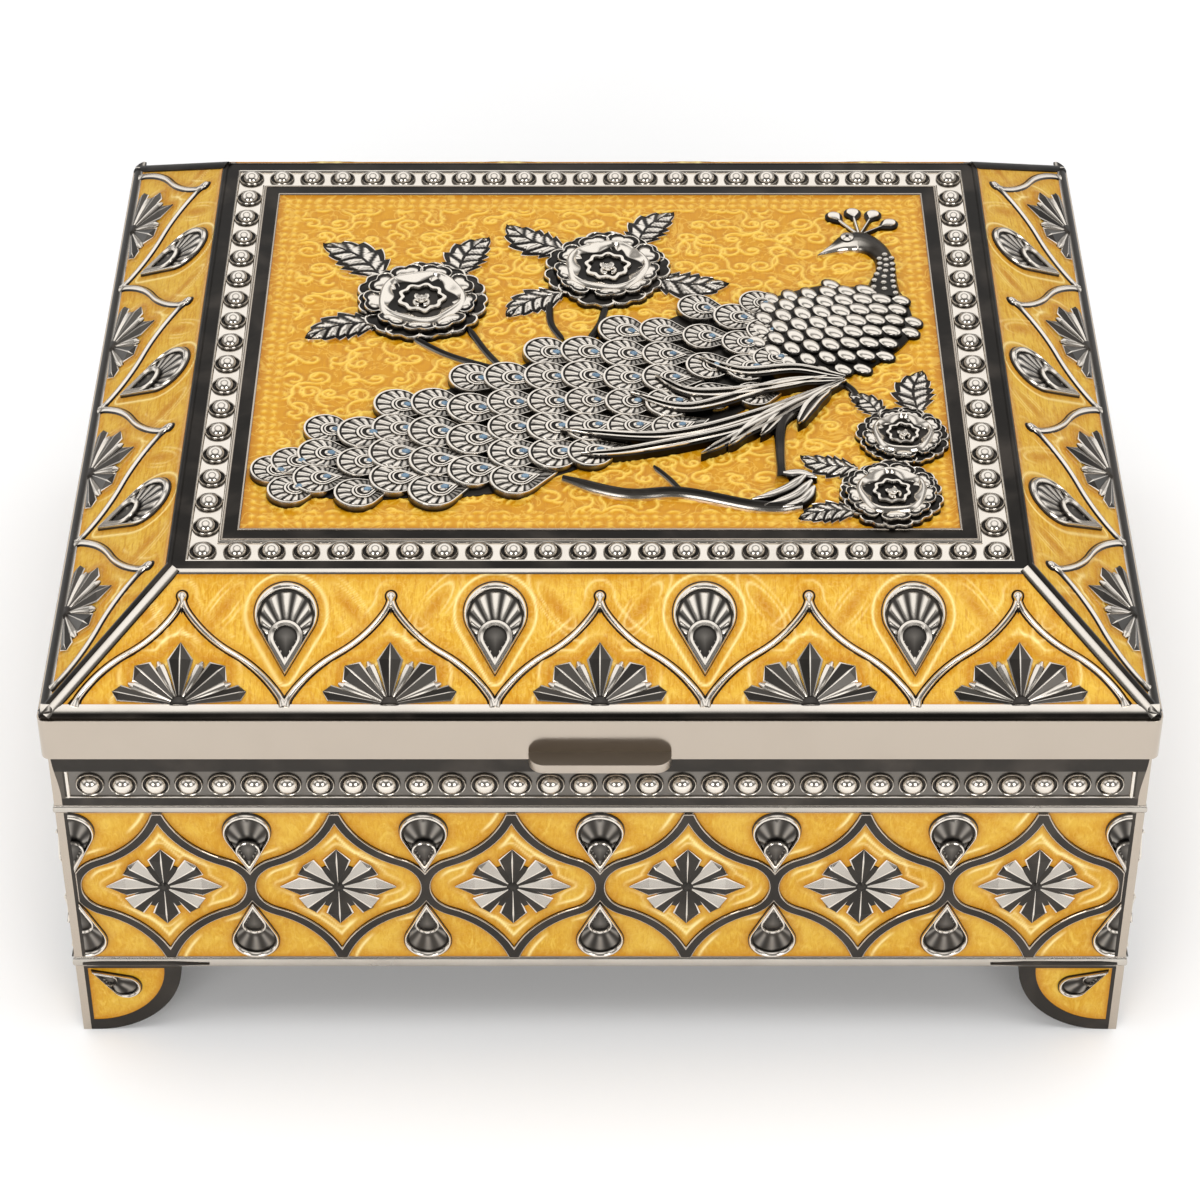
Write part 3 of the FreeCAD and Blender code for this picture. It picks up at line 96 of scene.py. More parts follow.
RIM_HIGH = 8.2
RIM_LEDGE = 0.5
BEVEL_INSET = 20.9
RIM_TOP = LID_LOW[2] + RIM_HIGH
BEVEL_RISE = LID_HIGH[2] - RIM_TOP
SLOPE_PLAN = BEVEL_INSET - RIM_LEDGE
SLOPE_LONG = math.hypot(SLOPE_PLAN, BEVEL_RISE)
SLOPE_LEAN = math.atan2(BEVEL_RISE, SLOPE_PLAN)
FLAT_HALF = (LID_HIGH[0] - BEVEL_INSET, LID_HIGH[1] - BEVEL_INSET)


def spot(x, y, angle=0.0, lift=0.0, tilt=0.0):
    """A seat within a drawing: tilted about x, turned about z and moved."""
    turn = Matrix.Rotation(angle, 4, "Z") @ Matrix.Rotation(tilt, 4, "X")
    return np.array(Matrix.Translation((x, y, lift)) @ turn)


def stretched(wide, high=1.0):
    """A seat that makes a drawing wider or narrower, and higher or flatter."""
    return np.diag([wide, wide, high, 1.0])


def lid_half(side):
    """Half the length of the lid along a side."""
    return LID_HIGH[0] if side in ACROSS else LID_HIGH[1]


def slope_seat(side, proud=0.0):
    reach = (LID_HIGH[1] if side in ACROSS else LID_HIGH[0]) - RIM_LEDGE
    return seat_matrix((0, -reach, RIM_TOP), SIDES[side][0], SLOPE_LEAN) @ spot(0, 0, 0, proud)


def slope_half(side, up):
    """Half the length of a slope at a height up along it."""
    return lid_half(side) - RIM_LEDGE - SLOPE_PLAN * up / SLOPE_LONG


PANEL_SEAT = spot(0, 0, 0, PANEL_HIGH[2])


# Castings: closed meshes drawn with a shade at every point

class Casting:
    """Points, faces and shades of one piece, in millimetres."""

    def __init__(self):
        self.points = []
        self.shades = []
        self.faces = []
        self.count = 0

    def add(self, points, shades, faces):
        start = self.count
        self.points.append(np.asarray(points, float))
        self.shades.append(np.asarray(shades, float))
        self.faces += [[index + start for index in face] for face in faces]
        self.count += len(points)

    def place(self, other, seat):
        """A copy of another casting, carried by a seat."""
        points = np.vstack(other.points)
        faces = other.faces
        if np.linalg.det(seat[:3, :3]) < 0:
            faces = [face[::-1] for face in faces]
        self.add(points @ seat[:3, :3].T + seat[:3, 3], np.concatenate(other.shades), faces)


def seated(casting, seat):
    """A copy of a casting, carried by a seat."""
    copy = Casting()
    copy.place(casting, seat)
    return copy


def mound(casting, outline, heart, rings):
    """A closed relief over an outline: rings of (share, height, shade) from its heart to its edge."""
    outline = np.asarray(outline, float)
    heart = np.asarray(heart, float)
    count = len(outline)
    points = [np.array([[*heart, np.mean(rings[0][1])]])]
    shades = [np.array([np.mean(rings[0][2])])]
    for share, height, shade in rings[1:]:
        flat = heart + (outline - heart) * np.broadcast_to(share, count)[:, None]
        points.append(np.column_stack([flat, np.broadcast_to(height, count)]))
        shades.append(np.broadcast_to(shade, count))
    points.append(np.array([[*heart, np.min(points[-1][:, 2])]]))
    shades.append(shades[-1][:1])
    after = np.roll(np.arange(count), -1)
    faces = [[0, 1 + i, 1 + after[i]] for i in range(count)]
    for ring in range(len(rings) - 2):
        inner = 1 + ring * count
        outer = inner + count
        faces += [[inner + i, outer + i, outer + after[i], inner + after[i]] for i in range(count)]
    last = 1 + (len(rings) - 2) * count
    faces += [[last + count, last + after[i], last + i] for i in range(count)]
    casting.add(np.vstack(points), np.concatenate(shades), faces)


def ribbon(casting, path, half_wide, columns, height, shade):
    """A closed bar along a path. Height and shade run along it and across its columns, from -1 to 1."""
    path = np.asarray(path, float)
    count = len(path)
    across = np.asarray(columns, float)
    width = len(across)
    tangent = np.gradient(path, axis=0)
    tangent /= np.linalg.norm(tangent, axis=1)[:, None]
    normal = np.column_stack([-tangent[:, 1], tangent[:, 0]])
    half = np.maximum(np.broadcast_to(half_wide, count), 0.02)
    reach = half[:, None] * across[None, :]
    flat = path[:, None, :] + normal[:, None, :] * reach[:, :, None]
    top = np.dstack([flat, np.broadcast_to(height, (count, width))])
    under = np.dstack([flat[:, [-1, 0], :], np.zeros((count, 2))])
    tints = np.broadcast_to(shade, (count, width))
    points = np.concatenate([top, under], axis=1)
    tints = np.concatenate([tints, tints[:, [-1, 0]]], axis=1)
    section = width + 2
    faces = [list(range(section)), list(range(section * count - 1, section * (count - 1) - 1, -1))]
    for i in range(count - 1):
        for k in range(section):
            near, far = i * section, (i + 1) * section
            after = (k + 1) % section
            faces.append([near + k, far + k, far + after, near + after])
    casting.add(points.reshape(-1, 3), tints.reshape(-1), faces)


def relief(outline, heart, rings):
    """A casting of one mound."""
    casting = Casting()
    mound(casting, outline, heart, rings)
    return casting


def bar(path, half_wide, columns, height, shade):
    """A casting of one ribbon."""
    casting = Casting()
    ribbon(casting, path, half_wide, columns, height, shade)
    return casting


# Columns of a half round bar and their heights
ROUND_COLUMNS = np.array([-1.0, -0.8, -0.45, 0.0, 0.45, 0.8, 1.0])
ROUND_HEIGHT = np.sqrt(np.maximum(1 - ROUND_COLUMNS ** 2, 0))


def grid_rim(tall, wide):
    """Indices round the edge of a grid of points."""
    return [*range(wide), *range(2 * wide - 1, tall * wide, wide),
            *range(tall * wide - 2, (tall - 1) * wide - 1, -1), *range((tall - 2) * wide, 0, -wide)]


def frame_loop(casting, half_x, half_y, section, shade=0.0):
    """A mitred frame; each point of its closed section is (outwards, up) from the rectangle."""
    points = []
    for out, up in section:
        x, y = half_x + out, half_y + out
        points += [(-x, -y, up), (x, -y, up), (x, y, up), (-x, y, up)]
    count = len(section)
    faces = []
    for k in range(count):
        after = (k + 1) % count
        for i in range(4):
            beside = (i + 1) % 4
            faces.append([4 * k + i, 4 * k + beside, 4 * after + beside, 4 * after + i])
    casting.add(points, np.broadcast_to(shade, len(points)), faces)


def half_round(wide, proud):
    """Section of a half round moulding that lies on a surface, for frame_loop, outer edge first."""
    angles = np.linspace(0, math.pi, 7)
    return [(wide / 2 * math.cos(angle), proud * math.sin(angle)) for angle in angles]


# Outlines and curves

def shares_of(half, count):
    """Middles of equal shares of a length that runs from -half to half, and half of one share."""
    share = half / count
    return [(2 * index + 1) * share - half for index in range(count)], share


def level_line(half, up, count):
    return np.column_stack([np.linspace(-half, half, count), np.full(count, up)])


def around(half_x, half_y, across, upward):
    """Places along the four sides of a rectangle."""
    places = [(x, sign * half_y) for x in across for sign in (-1, 1)]
    return places + [(sign * half_x, y) for y in upward for sign in (-1, 1)]


def turned(points, angle):
    cosine, sine = math.cos(angle), math.sin(angle)
    return np.asarray(points) @ np.array([[cosine, sine], [-sine, cosine]])


def circle(radius, count=32, squeeze=1.0):
    angles = np.linspace(0, 2 * math.pi, count, endpoint=False)
    return np.column_stack([radius * np.cos(angles), radius * squeeze * np.sin(angles)])


def teardrop(radius, tall, count=48):
    """Point at the origin, round end upwards; runs anticlockwise from the point."""
    centre = tall - radius
    lean = math.asin(radius / centre)
    along = math.sqrt(centre ** 2 - radius ** 2)
    flank = count // 4
    crown = count - 2 * flank
    up = np.linspace(0, 1, flank, endpoint=False)[:, None]
    right = np.array([along * math.sin(lean), along * math.cos(lean)])
    left = right * [-1, 1]
    angles = np.linspace(-lean, math.pi + lean, crown, endpoint=False)
    arc = np.column_stack([radius * np.cos(angles), centre + radius * np.sin(angles)])
    return np.vstack([up * right, arc, left * (1 - up)])


def arc_points(start, heading, radius, bend, count):
    """Points along an arc from a start, turning left where the bend is positive."""
    hand = math.copysign(1, bend)
    centre = np.asarray(start) + hand * radius * np.array([-math.sin(heading), math.cos(heading)])
    bearings = heading + bend * np.linspace(0, 1, count)
    return centre + np.column_stack([np.sin(bearings), -np.cos(bearings)]) * hand * radius


def curve(points, index, t):
    """A smooth curve through four neighbouring points of a list."""
    a, b, c, d = (points[index + k] for k in range(4))
    return 0.5 * (2 * b + (c - a) * t + (2 * a - 5 * b + 4 * c - d) * t ** 2
                  + (3 * b - a - 3 * c + d) * t ** 3)


def smooth_path(points, count):
    """A smooth open curve through given points."""
    points = np.asarray(points, float)
    ends = np.vstack([2 * points[0] - points[1], points, 2 * points[-1] - points[-2]])
    where = np.linspace(0, len(points) - 1, count)
    index = np.minimum(where.astype(int), len(points) - 2)
    return curve(ends, index, (where - index)[:, None])


def smooth_loop(points, count):
    """A smooth closed curve through given points."""
    points = np.asarray(points, float)
    where = np.linspace(0, len(points), count, endpoint=False)
    index = where.astype(int)
    return curve(np.vstack([points[-1:], points, points[:2]]), index, (where - index)[:, None])


def distances(points, marks):
    """Distance from each point to the nearest of the marks."""
    tree = KDTree(len(marks))
    for index, mark in enumerate(marks):
        tree.insert((*mark, 0.0), index)
    tree.balance()
    return np.array([tree.find((*point, 0.0))[2] for point in points])


def outline_marks(outline, spacing=0.3):
    """Points closely along a closed outline."""
    marks = []
    for start, end in zip(outline, np.roll(outline, -1, axis=0)):
        count = max(1, int(np.hypot(*(end - start)) / spacing))
        marks.append(start + (end - start) * np.linspace(0, 1, count, endpoint=False)[:, None])
    return np.vstack(marks)


def swell(gap, middle, wide):
    """A soft ridge where a gap is near a middle value."""
    return np.exp(-((gap - middle) / wide) ** 2)


# Pieces

def make_piece(name, casting, body, finish, nodes=(), sharp=40, extra=None):
    """A mesh object in metres that rides on a body and stands for CAD nodes."""
    mesh = bpy.data.meshes.new(name)
    mesh.from_pydata(np.vstack(casting.points) * MM, [], casting.faces)
    layers = {"shade": np.concatenate(casting.shades)}
    layers.update(extra or {})
    for label, values in layers.items():
        layer = mesh.attributes.new(label, "FLOAT", "POINT")
        layer.data.foreach_set("value", np.asarray(values, np.float32))
    mesh.shade_smooth()
    mesh.set_sharp_from_angle(angle=math.radians(sharp))
    piece = bpy.data.objects.new(name, mesh)
    bpy.context.collection.objects.link(piece)
    mesh.materials.append(finish)
    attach(piece, body)
    if nodes:
        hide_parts(*nodes)
    return piece


# Finishes

class Wiring:
    """Nodes and links of one material or group."""

    def __init__(self, tree):
        self.tree = tree

    def put(self, kind, settings=None, **inputs):
        node = self.tree.nodes.new(kind)
        for key, value in (settings or {}).items():
            setattr(node, key, value)
        for key, value in inputs.items():
            self.feed(node, key.replace("_", " "), value)
        return node

    def feed(self, node, key, value):
        socket = node.inputs[key]
        if isinstance(value, bpy.types.NodeSocket):
            self.tree.links.new(value, socket)
        else:
            socket.default_value = value

    def maths(self, operation, *values):
        node = self.put("ShaderNodeMath", {"operation": operation})
        for index, value in enumerate(values):
            self.feed(node, index, value)
        return node.outputs[0]

    def mix(self, share, first, second):
        node = self.put("ShaderNodeMix", {"data_type": "RGBA"}, Factor=share)
        self.feed(node, 6, first)
        self.feed(node, 7, second)
        return node.outputs[2]

    def ramp(self, share, low, high, first=0.0, second=1.0):
        node = self.put("ShaderNodeMapRange", {"interpolation_type": "SMOOTHSTEP"}, Value=share)
        for key, value in (("From Min", low), ("From Max", high), ("To Min", first), ("To Max", second)):
            self.feed(node, key, value)
        return node.outputs[0]

    def noise(self, scale, detail=3.0, distortion=0.0, vector=None):
        node = self.put("ShaderNodeTexNoise", Scale=scale, Detail=detail, Distortion=distortion)
        if vector is not None:
            self.feed(node, "Vector", vector)
        return node.outputs["Fac"]


def new_group(name, inputs, outputs):
    """A node group with named sockets; gives its wiring, its inputs and its output node."""
    group = bpy.data.node_groups.new(name, "ShaderNodeTree")
    for direction, sockets in (("INPUT", inputs), ("OUTPUT", outputs)):
        for label, kind in sockets:
            group.interface.new_socket(label, in_out=direction, socket_type=kind)
    wiring = Wiring(group)
    return wiring, wiring.put("NodeGroupInput").outputs, wiring.put("NodeGroupOutput")


VALUE = "NodeSocketFloat"
COLOUR = "NodeSocketColor"
VECTOR = "NodeSocketVector"


TARNISH = (0.36, 0.30, 0.25, 1.0)


def make_aged_metal_group():
    """Bright plating that turns dark where the shade is high, with faint wear and handling marks."""
    wires, given, out = new_group(
        "aged_metal",
        (("Place", VECTOR), ("Shade", VALUE), ("Bright", COLOUR), ("Dark", COLOUR), ("Gloss", VALUE)),
        (("Color", COLOUR), ("Roughness", VALUE), ("Height", VALUE)),
    )
    place = given["Place"]
    cloud = wires.noise(90.0, 4.0, 0.4, place)
    grain = wires.noise(2600.0, 2.0, 0.0, place)
    drift = wires.maths("MULTIPLY_ADD", cloud, 0.16, -0.08)
    shade = wires.ramp(wires.maths("ADD", given["Shade"], drift), 0.05, 0.95)
    tint = wires.mix(shade, given["Bright"], given["Dark"])
    worn = wires.mix(wires.ramp(cloud, 0.4, 0.8, 0.0, 0.12), tint, TARNISH)
    rough = wires.maths("MULTIPLY_ADD", shade, 0.16, given["Gloss"])
    wires.feed(out, "Color", worn)
    wires.feed(out, "Roughness", wires.maths("MULTIPLY_ADD", cloud, 0.14, rough))
    wires.feed(out, "Height", grain)
    return wires.tree


def make_streaks_group():
    """Pale pearly streaks, clouds, fine brushed lines and wandering lines of enamel."""
    wires, given, out = new_group(
        "pearl_streaks", (("Place", VECTOR), ("Size", VALUE)),
        (("Cloud", VALUE), ("Streak", VALUE), ("Brush", VALUE), ("Line", VALUE)))
    place = given["Place"]
    scale = wires.maths("DIVIDE", 1.0, given["Size"])
    cloud = wires.noise(scale, 3.0, 1.2, place)
    drawn = wires.put("ShaderNodeMapping", Vector=place, Scale=(1.0, 1.0, 0.45))
    fine = wires.noise(wires.maths("MULTIPLY", scale, 3.2), 5.0, 3.4, drawn.outputs[0])
    wander = wires.noise(wires.maths("MULTIPLY", scale, 4.0), 2.0, 1.6, place)
    off_line = wires.maths("ABSOLUTE", wires.maths("SUBTRACT", wander, 0.5))
    slanted = wires.put("ShaderNodeMapping", Vector=place, Rotation=(0.5, 0.3, 0.8), Scale=(1.0, 0.12, 0.3))
    wires.feed(out, "Cloud", cloud)
    wires.feed(out, "Streak", wires.ramp(fine, 0.5, 0.7))
    wires.feed(out, "Line", wires.ramp(off_line, 0.01, 0.05, 1.0, 0.0))
    wires.feed(out, "Brush", wires.noise(2400.0, 2.0, 0.8, slanted.outputs[0]))
    return wires.tree


aged_metal_group = make_aged_metal_group()
streaks_group = make_streaks_group()


def new_finish(name):
    finish = bpy.data.materials.new(name)
    finish.use_nodes = True
    return finish, Wiring(finish.node_tree), finish.node_tree.nodes["Principled BSDF"]


def attribute(wires, label):
    return wires.put("ShaderNodeAttribute", {"attribute_name": label}).outputs["Fac"]


def place_of(wires):
    return wires.put("ShaderNodeTexCoord").outputs["Object"]


SILVER = (0.50, 0.435, 0.365, 1.0)
BRIGHT_SILVER = (0.80, 0.74, 0.66, 1.0)
BLACKENED = (0.018, 0.016, 0.014, 1.0)
GUNMETAL = (0.045, 0.041, 0.037, 1.0)


def make_metal(name, shade_of, bright=SILVER, dark=BLACKENED, gloss=0.1, grain=0.000004):
    """A metal finish; shade_of wires up how dark the plating is."""
    finish, wires, shader = new_finish(name)
    place = place_of(wires)
    group = wires.put("ShaderNodeGroup", {"node_tree": aged_metal_group}, Place=place, Bright=bright,
                      Dark=dark, Gloss=gloss, Shade=shade_of(wires, place))
    bump = wires.put("ShaderNodeBump", Height=group.outputs["Height"], Distance=grain)
    wires.feed(shader, "Base Color", group.outputs["Color"])
    wires.feed(shader, "Roughness", group.outputs["Roughness"])
    wires.feed(shader, "Normal", bump.outputs[0])
    wires.feed(shader, "Metallic", 1.0)
    return finish


def drawn_shade(wires, place):
    return attribute(wires, "shade")


def even_shade(amount):
    def wire(wires, place):
        return wires.ramp(wires.noise(300.0, 2.0, 0.0, place), 0.0, 1.0, amount - 0.05, amount + 0.05)
    return wire


BAND_SOFT = 0.00004


def band(wires, value, low, high):
    """One between two heights in millimetres and nothing outside them."""
    above = wires.ramp(value, low * MM - BAND_SOFT, low * MM + BAND_SOFT)
    below = wires.ramp(value, high * MM - BAND_SOFT, high * MM + BAND_SOFT, 1.0, 0.0)
    return wires.maths("MULTIPLY", above, below)


BAND_LINE = 1.7
STILE_FACE = 1.35
FOOT_HIGH = FOOT_CELL_HIGH[2] + 0.5


def wall_shade(axis, half):
    """Dark bands above and below the beads and dark frames of the feet, between bright stiles."""
    def wire(wires, place):
        parts = wires.put("ShaderNodeSeparateXYZ", Vector=place)
        height = parts.outputs["Z"]
        from_middle = wires.maths("ABSOLUTE", parts.outputs[axis])
        from_corner = wires.maths("SUBTRACT", half * MM, from_middle)
        top = band(wires, height, STRIP_HIGH[2], WALL_HIGH[2] + 1)
        beads = band(wires, height, STRIP_LOW[2], STRIP_HIGH[2])
        middle = band(wires, height, FIELD_HIGH[2] + BAND_LINE, STRIP_LOW[2])
        field = band(wires, height, FIELD_LOW[2], FIELD_HIGH[2])
        feet = band(wires, height, -1, FOOT_HIGH)
        dark = wires.maths("ADD", wires.maths("ADD", top, middle), wires.maths("ADD", field, feet))
        dark = wires.maths("MULTIPLY_ADD", beads, 0.8, dark)
        taper = wires.ramp(height, STRIP_LOW[2] * MM, WALL_HIGH[2] * MM, STILE_FACE * MM, 0.35 * MM)
        stile = wires.maths("GREATER_THAN", from_corner, taper)
        return wires.maths("MULTIPLY", wires.maths("MULTIPLY", dark, stile), 0.92)
    return wire


CHANNEL_OUT = FLAT_HALF[0] - BEAD_FRAME_HIGH[0]
CHANNEL_WIDE = 5.2


def lid_shade(wires, place):
    """Dark borders on both sides of the lid's beads and on the slopes; the rim stays bright."""
    parts = wires.put("ShaderNodeSeparateXYZ", Vector=place)
    gaps = [wires.maths("SUBTRACT", half * MM, wires.maths("ABSOLUTE", parts.outputs[axis]))
            for axis, half in (("X", FLAT_HALF[0]), ("Y", FLAT_HALF[1]))]
    inset = wires.maths("MINIMUM", *gaps)
    on_top = wires.ramp(parts.outputs["Z"], (RIM_TOP + 0.1) * MM, (RIM_TOP + 0.3) * MM)
    outer = band(wires, inset, -BEVEL_INSET, CHANNEL_OUT)
    inner = band(wires, inset, CHANNEL_OUT + CHANNEL_WIDE, LID_HIGH[0])
    borders = wires.maths("ADD", outer, inner)
    return wires.maths("MULTIPLY", wires.maths("MULTIPLY", borders, on_top), 0.95)


def make_enamel(name, size, colours, crest_share, line_share, brush_share):
    """Glossy enamel, deeper beside the metal and paler in streaks and on its raised lines. On the walls the
    pale lines are painted highlights, and on the panel the deeper tint beside the scrolls is painted shadow.
    """
    deep, plain, pale, line = colours
    finish, wires, shader = new_finish(name)
    group = wires.put("ShaderNodeGroup", {"node_tree": streaks_group}, Place=place_of(wires), Size=size)
    body = wires.mix(wires.ramp(group.outputs["Cloud"], 0.35, 0.75, 0.0, 0.6), plain, pale)
    body = wires.mix(wires.maths("MULTIPLY", group.outputs["Streak"], 0.7), body, pale)
    body = wires.mix(wires.ramp(group.outputs["Brush"], 0.4, 0.7, 0.0, brush_share), body, pale)
    body = wires.mix(wires.ramp(group.outputs["Brush"], 0.5, 0.25, 0.0, brush_share), body, deep)
    body = wires.mix(wires.maths("MULTIPLY", attribute(wires, "shade"), 0.85), body, deep)
    body = wires.mix(wires.maths("MULTIPLY", group.outputs["Line"], line_share), body, line)
    body = wires.mix(wires.maths("MULTIPLY", attribute(wires, "crest"), crest_share), body, line)
    ripple = wires.put("ShaderNodeBump", Height=group.outputs["Cloud"], Distance=0.00012, Strength=0.5)
    brushed = wires.put("ShaderNodeBump", Height=group.outputs["Brush"], Distance=0.00002,
                        Normal=ripple.outputs[0])
    wires.feed(shader, "Base Color", body)
    wires.feed(shader, "Roughness", wires.ramp(group.outputs["Cloud"], 0.2, 0.8, 0.32, 0.45))
    wires.feed(shader, "Normal", brushed.outputs[0])
    wires.feed(shader, "Specular IOR Level", 0.14)
    wires.feed(shader, "Coat Weight", 0.26)
    wires.feed(shader, "Coat Roughness", 0.05)
    return finish


def make_velvet(name, colour, lit):
    finish, wires, shader = new_finish(name)
    place = place_of(wires)
    nap = wires.noise(140.0, 3.0, 0.6, place)
    pile = wires.noise(5200.0, 2.0, 0.0, place)
    bump = wires.put("ShaderNodeBump", Height=pile, Distance=0.00018)
    wires.feed(shader, "Base Color", wires.mix(wires.ramp(nap, 0.3, 0.75), colour, lit))
    wires.feed(shader, "Roughness", wires.ramp(pile, 0.2, 0.8, 0.78, 0.95))
    wires.feed(shader, "Normal", bump.outputs[0])
    wires.feed(shader, "Sheen Weight", 0.7)
    wires.feed(shader, "Sheen Roughness", 0.35)
    wires.feed(shader, "Sheen Tint", (0.9, 0.45, 0.45, 1.0))
    return finish


DEEP_AMBER = (0.46, 0.17, 0.002, 1.0)
GOLDEN = (0.61, 0.31, 0.011, 1.0)
PALE_GOLD = (0.75, 0.50, 0.075, 1.0)
CREAM_LINE = (0.93, 0.76, 0.32, 1.0)
AMBER_COLOURS = (DEEP_AMBER, GOLDEN, PALE_GOLD, CREAM_LINE)
PANEL_COLOURS = ((0.40, 0.14, 0.001, 1.0), (0.54, 0.235, 0.003, 1.0), (0.60, 0.29, 0.006, 1.0),
                 (0.86, 0.60, 0.11, 1.0))
EYE_COLOURS = ((0.03, 0.05, 0.08, 1.0), (0.08, 0.14, 0.21, 1.0), (0.20, 0.32, 0.42, 1.0),
               (0.6, 0.7, 0.8, 1.0))

cast_ornament = make_metal("cast_ornament", drawn_shade, bright=BRIGHT_SILVER, gloss=0.08)
dark_ornament = make_metal("dark_ornament", drawn_shade, bright=BRIGHT_SILVER, dark=GUNMETAL, gloss=0.12)
bright_plating = make_metal("bright_plating", even_shade(0.0), gloss=0.1)
tab_plating = make_metal("tab_plating", even_shade(0.0), gloss=0.26)
front_wall_metal = make_metal("front_wall_metal", wall_shade("X", WALL_HIGH[0]), dark=GUNMETAL, gloss=0.16)
side_wall_metal = make_metal("side_wall_metal", wall_shade("Y", SIDE_WALL_HIGH[1]), dark=GUNMETAL,
                             gloss=0.16)
lid_metal = make_metal("lid_metal", lid_shade, gloss=0.1)
strap_metal = make_metal("strap_metal", even_shade(0.93), dark=GUNMETAL, gloss=0.18)
base_metal = make_metal("base_metal", even_shade(0.75), dark=GUNMETAL, gloss=0.3, grain=0.00004)
screw_steel = make_metal("screw_steel", even_shade(0.1), bright=(0.55, 0.54, 0.52, 1.0), gloss=0.22)
wall_enamel = make_enamel("wall_enamel", 0.011, AMBER_COLOURS, 0.95, 0.05, 0.25)
slope_enamel = make_enamel("slope_enamel", 0.009, AMBER_COLOURS, 0.9, 0.08, 0.5)
panel_enamel = make_enamel("panel_enamel", 0.016, PANEL_COLOURS, 0.9, 0.3, 0.25)
eye_enamel = make_enamel("eye_enamel", 0.003, EYE_COLOURS, 0.0, 0.2, 0.2)
burgundy_velvet = make_velvet("burgundy_velvet", (0.10, 0.008, 0.014, 1.0), (0.19, 0.02, 0.03, 1.0))


# Enamel fields: fine grids that rise a little where they meet metal

MENISCUS_RISE = 0.2
MENISCUS_WIDE = 0.5
DEEP_TINT_WIDE = 1.0
FIELD_STEP = 0.32


def field_points(low, high, half_at, step):
    """Rows of points of a field whose half length changes with height."""
    tall = int((high - low) / step) + 1
    wide = int(2 * half_at(low) / step) + 1
    ups = np.linspace(low, high, tall)
    halves = np.array([half_at(up) for up in ups])
    shares = np.linspace(-1, 1, wide)
    return np.dstack([halves[:, None] * shares[None, :], np.repeat(ups[:, None], wide, axis=1)])


def edge_gap(rows, low, high, half_at):
    """Distance of each point to the straight edges of its field."""
    halves = np.array([half_at(up) for up in rows[:, 0, 1]])[:, None]
    return np.minimum.reduce([rows[..., 1] - low, high - rows[..., 1], halves - np.abs(rows[..., 0])])


def make_field(name, rows, gap, crest, lift, tint, under, seat, body, finish, node):
    """A closed enamel sheet over rows of points, raised by its lift and beside the metal."""
    tall, wide = gap.shape
    gap = np.maximum(gap, 0)
    rise = MENISCUS_RISE * np.exp(-gap / MENISCUS_WIDE) + lift
    shade = np.clip(np.exp(-gap / DEEP_TINT_WIDE) + tint, 0, 1).reshape(-1)
    crest = crest.reshape(-1)
    points = np.dstack([rows[..., 0], rows[..., 1], rise]).reshape(-1, 3)
    faces = [[near, near + 1, near + wide + 1, near + wide]
             for near in (i * wide + k for i in range(tall - 1) for k in range(wide - 1))]
    rim = grid_rim(tall, wide)
    start = len(points)
    for k in range(len(rim)):
        after = (k + 1) % len(rim)
        faces.append([rim[k], start + k, start + after, rim[after]])
    faces.append(list(range(start + len(rim) - 1, start - 1, -1)))
    below = points[rim] * [1, 1, 0] + [0, 0, under]
    sheet = Casting()
    sheet.add(np.vstack([points, below]), np.append(shade, shade[rim]), faces)
    layers = {"crest": np.append(crest, crest[rim])}
    make_piece(name, seated(sheet, seat), body, finish, [node], extra=layers)


# Walls: enamel, rosettes and drops

CELLS = {True: 6, False: 5}
STRAP_WIDE = 1.7
CELL_SIDE_RADIUS = 6.0
CELL_FLARE = math.radians(20)
FIELD_FACE = -0.3
ENAMEL_UNDER = -0.6
DROP_RADIUS = 4.05
DROP_TALL = 13.3
# Petals of a rosette: bearing from upright in degrees, reach, share of it at the widest, half width
HALF_ROSETTE = [(0, 8.5, 0.72, 2.3), (50, 7.4, 0.93, 2.25), (90, 9.6, 0.66, 2.1), (130, 7.4, 0.93, 2.25)]
ROSETTE_PETALS = [(bearing + turn, *size) for turn in (0, 180) for bearing, *size in HALF_ROSETTE]


def cell_centres(side):
    return shares_of(SIDES[side][1] - STILE_WIDE, CELLS[side in ACROSS])


def cell_quarter(half_wide, half_tall):
    """Middle line of a strap from a cell's upper point to its right side."""
    across = half_wide - CELL_SIDE_RADIUS * (1 - math.sin(CELL_FLARE))
    down = half_tall - CELL_SIDE_RADIUS * math.cos(CELL_FLARE)
    steep = 2 * math.atan2(down, across) - CELL_FLARE
    radius = across / (math.sin(steep) - math.sin(CELL_FLARE))
    hollow = arc_points((0, half_tall), -steep, radius, steep - CELL_FLARE, 24)
    bow = arc_points(hollow[-1], -CELL_FLARE, CELL_SIDE_RADIUS, CELL_FLARE - QUARTER, 16)
    return np.vstack([hollow, bow])


def kite(reach, waist, half):
    return np.array([(0, 0), (half, waist * reach), (0, reach), (-half, waist * reach)])


def drop_places(side):
    """Point of each wall drop and the way it hangs: 1 with its round end up, -1 down."""
    centres, half = cell_centres(side)
    meetings = [centres[0] - half] + [x + half for x in centres]
    tip = FIELD_TALL / 2 - DROP_TALL
    return [(x, FIELD_MIDDLE + way * tip, way) for x in meetings for way in (1, -1)]


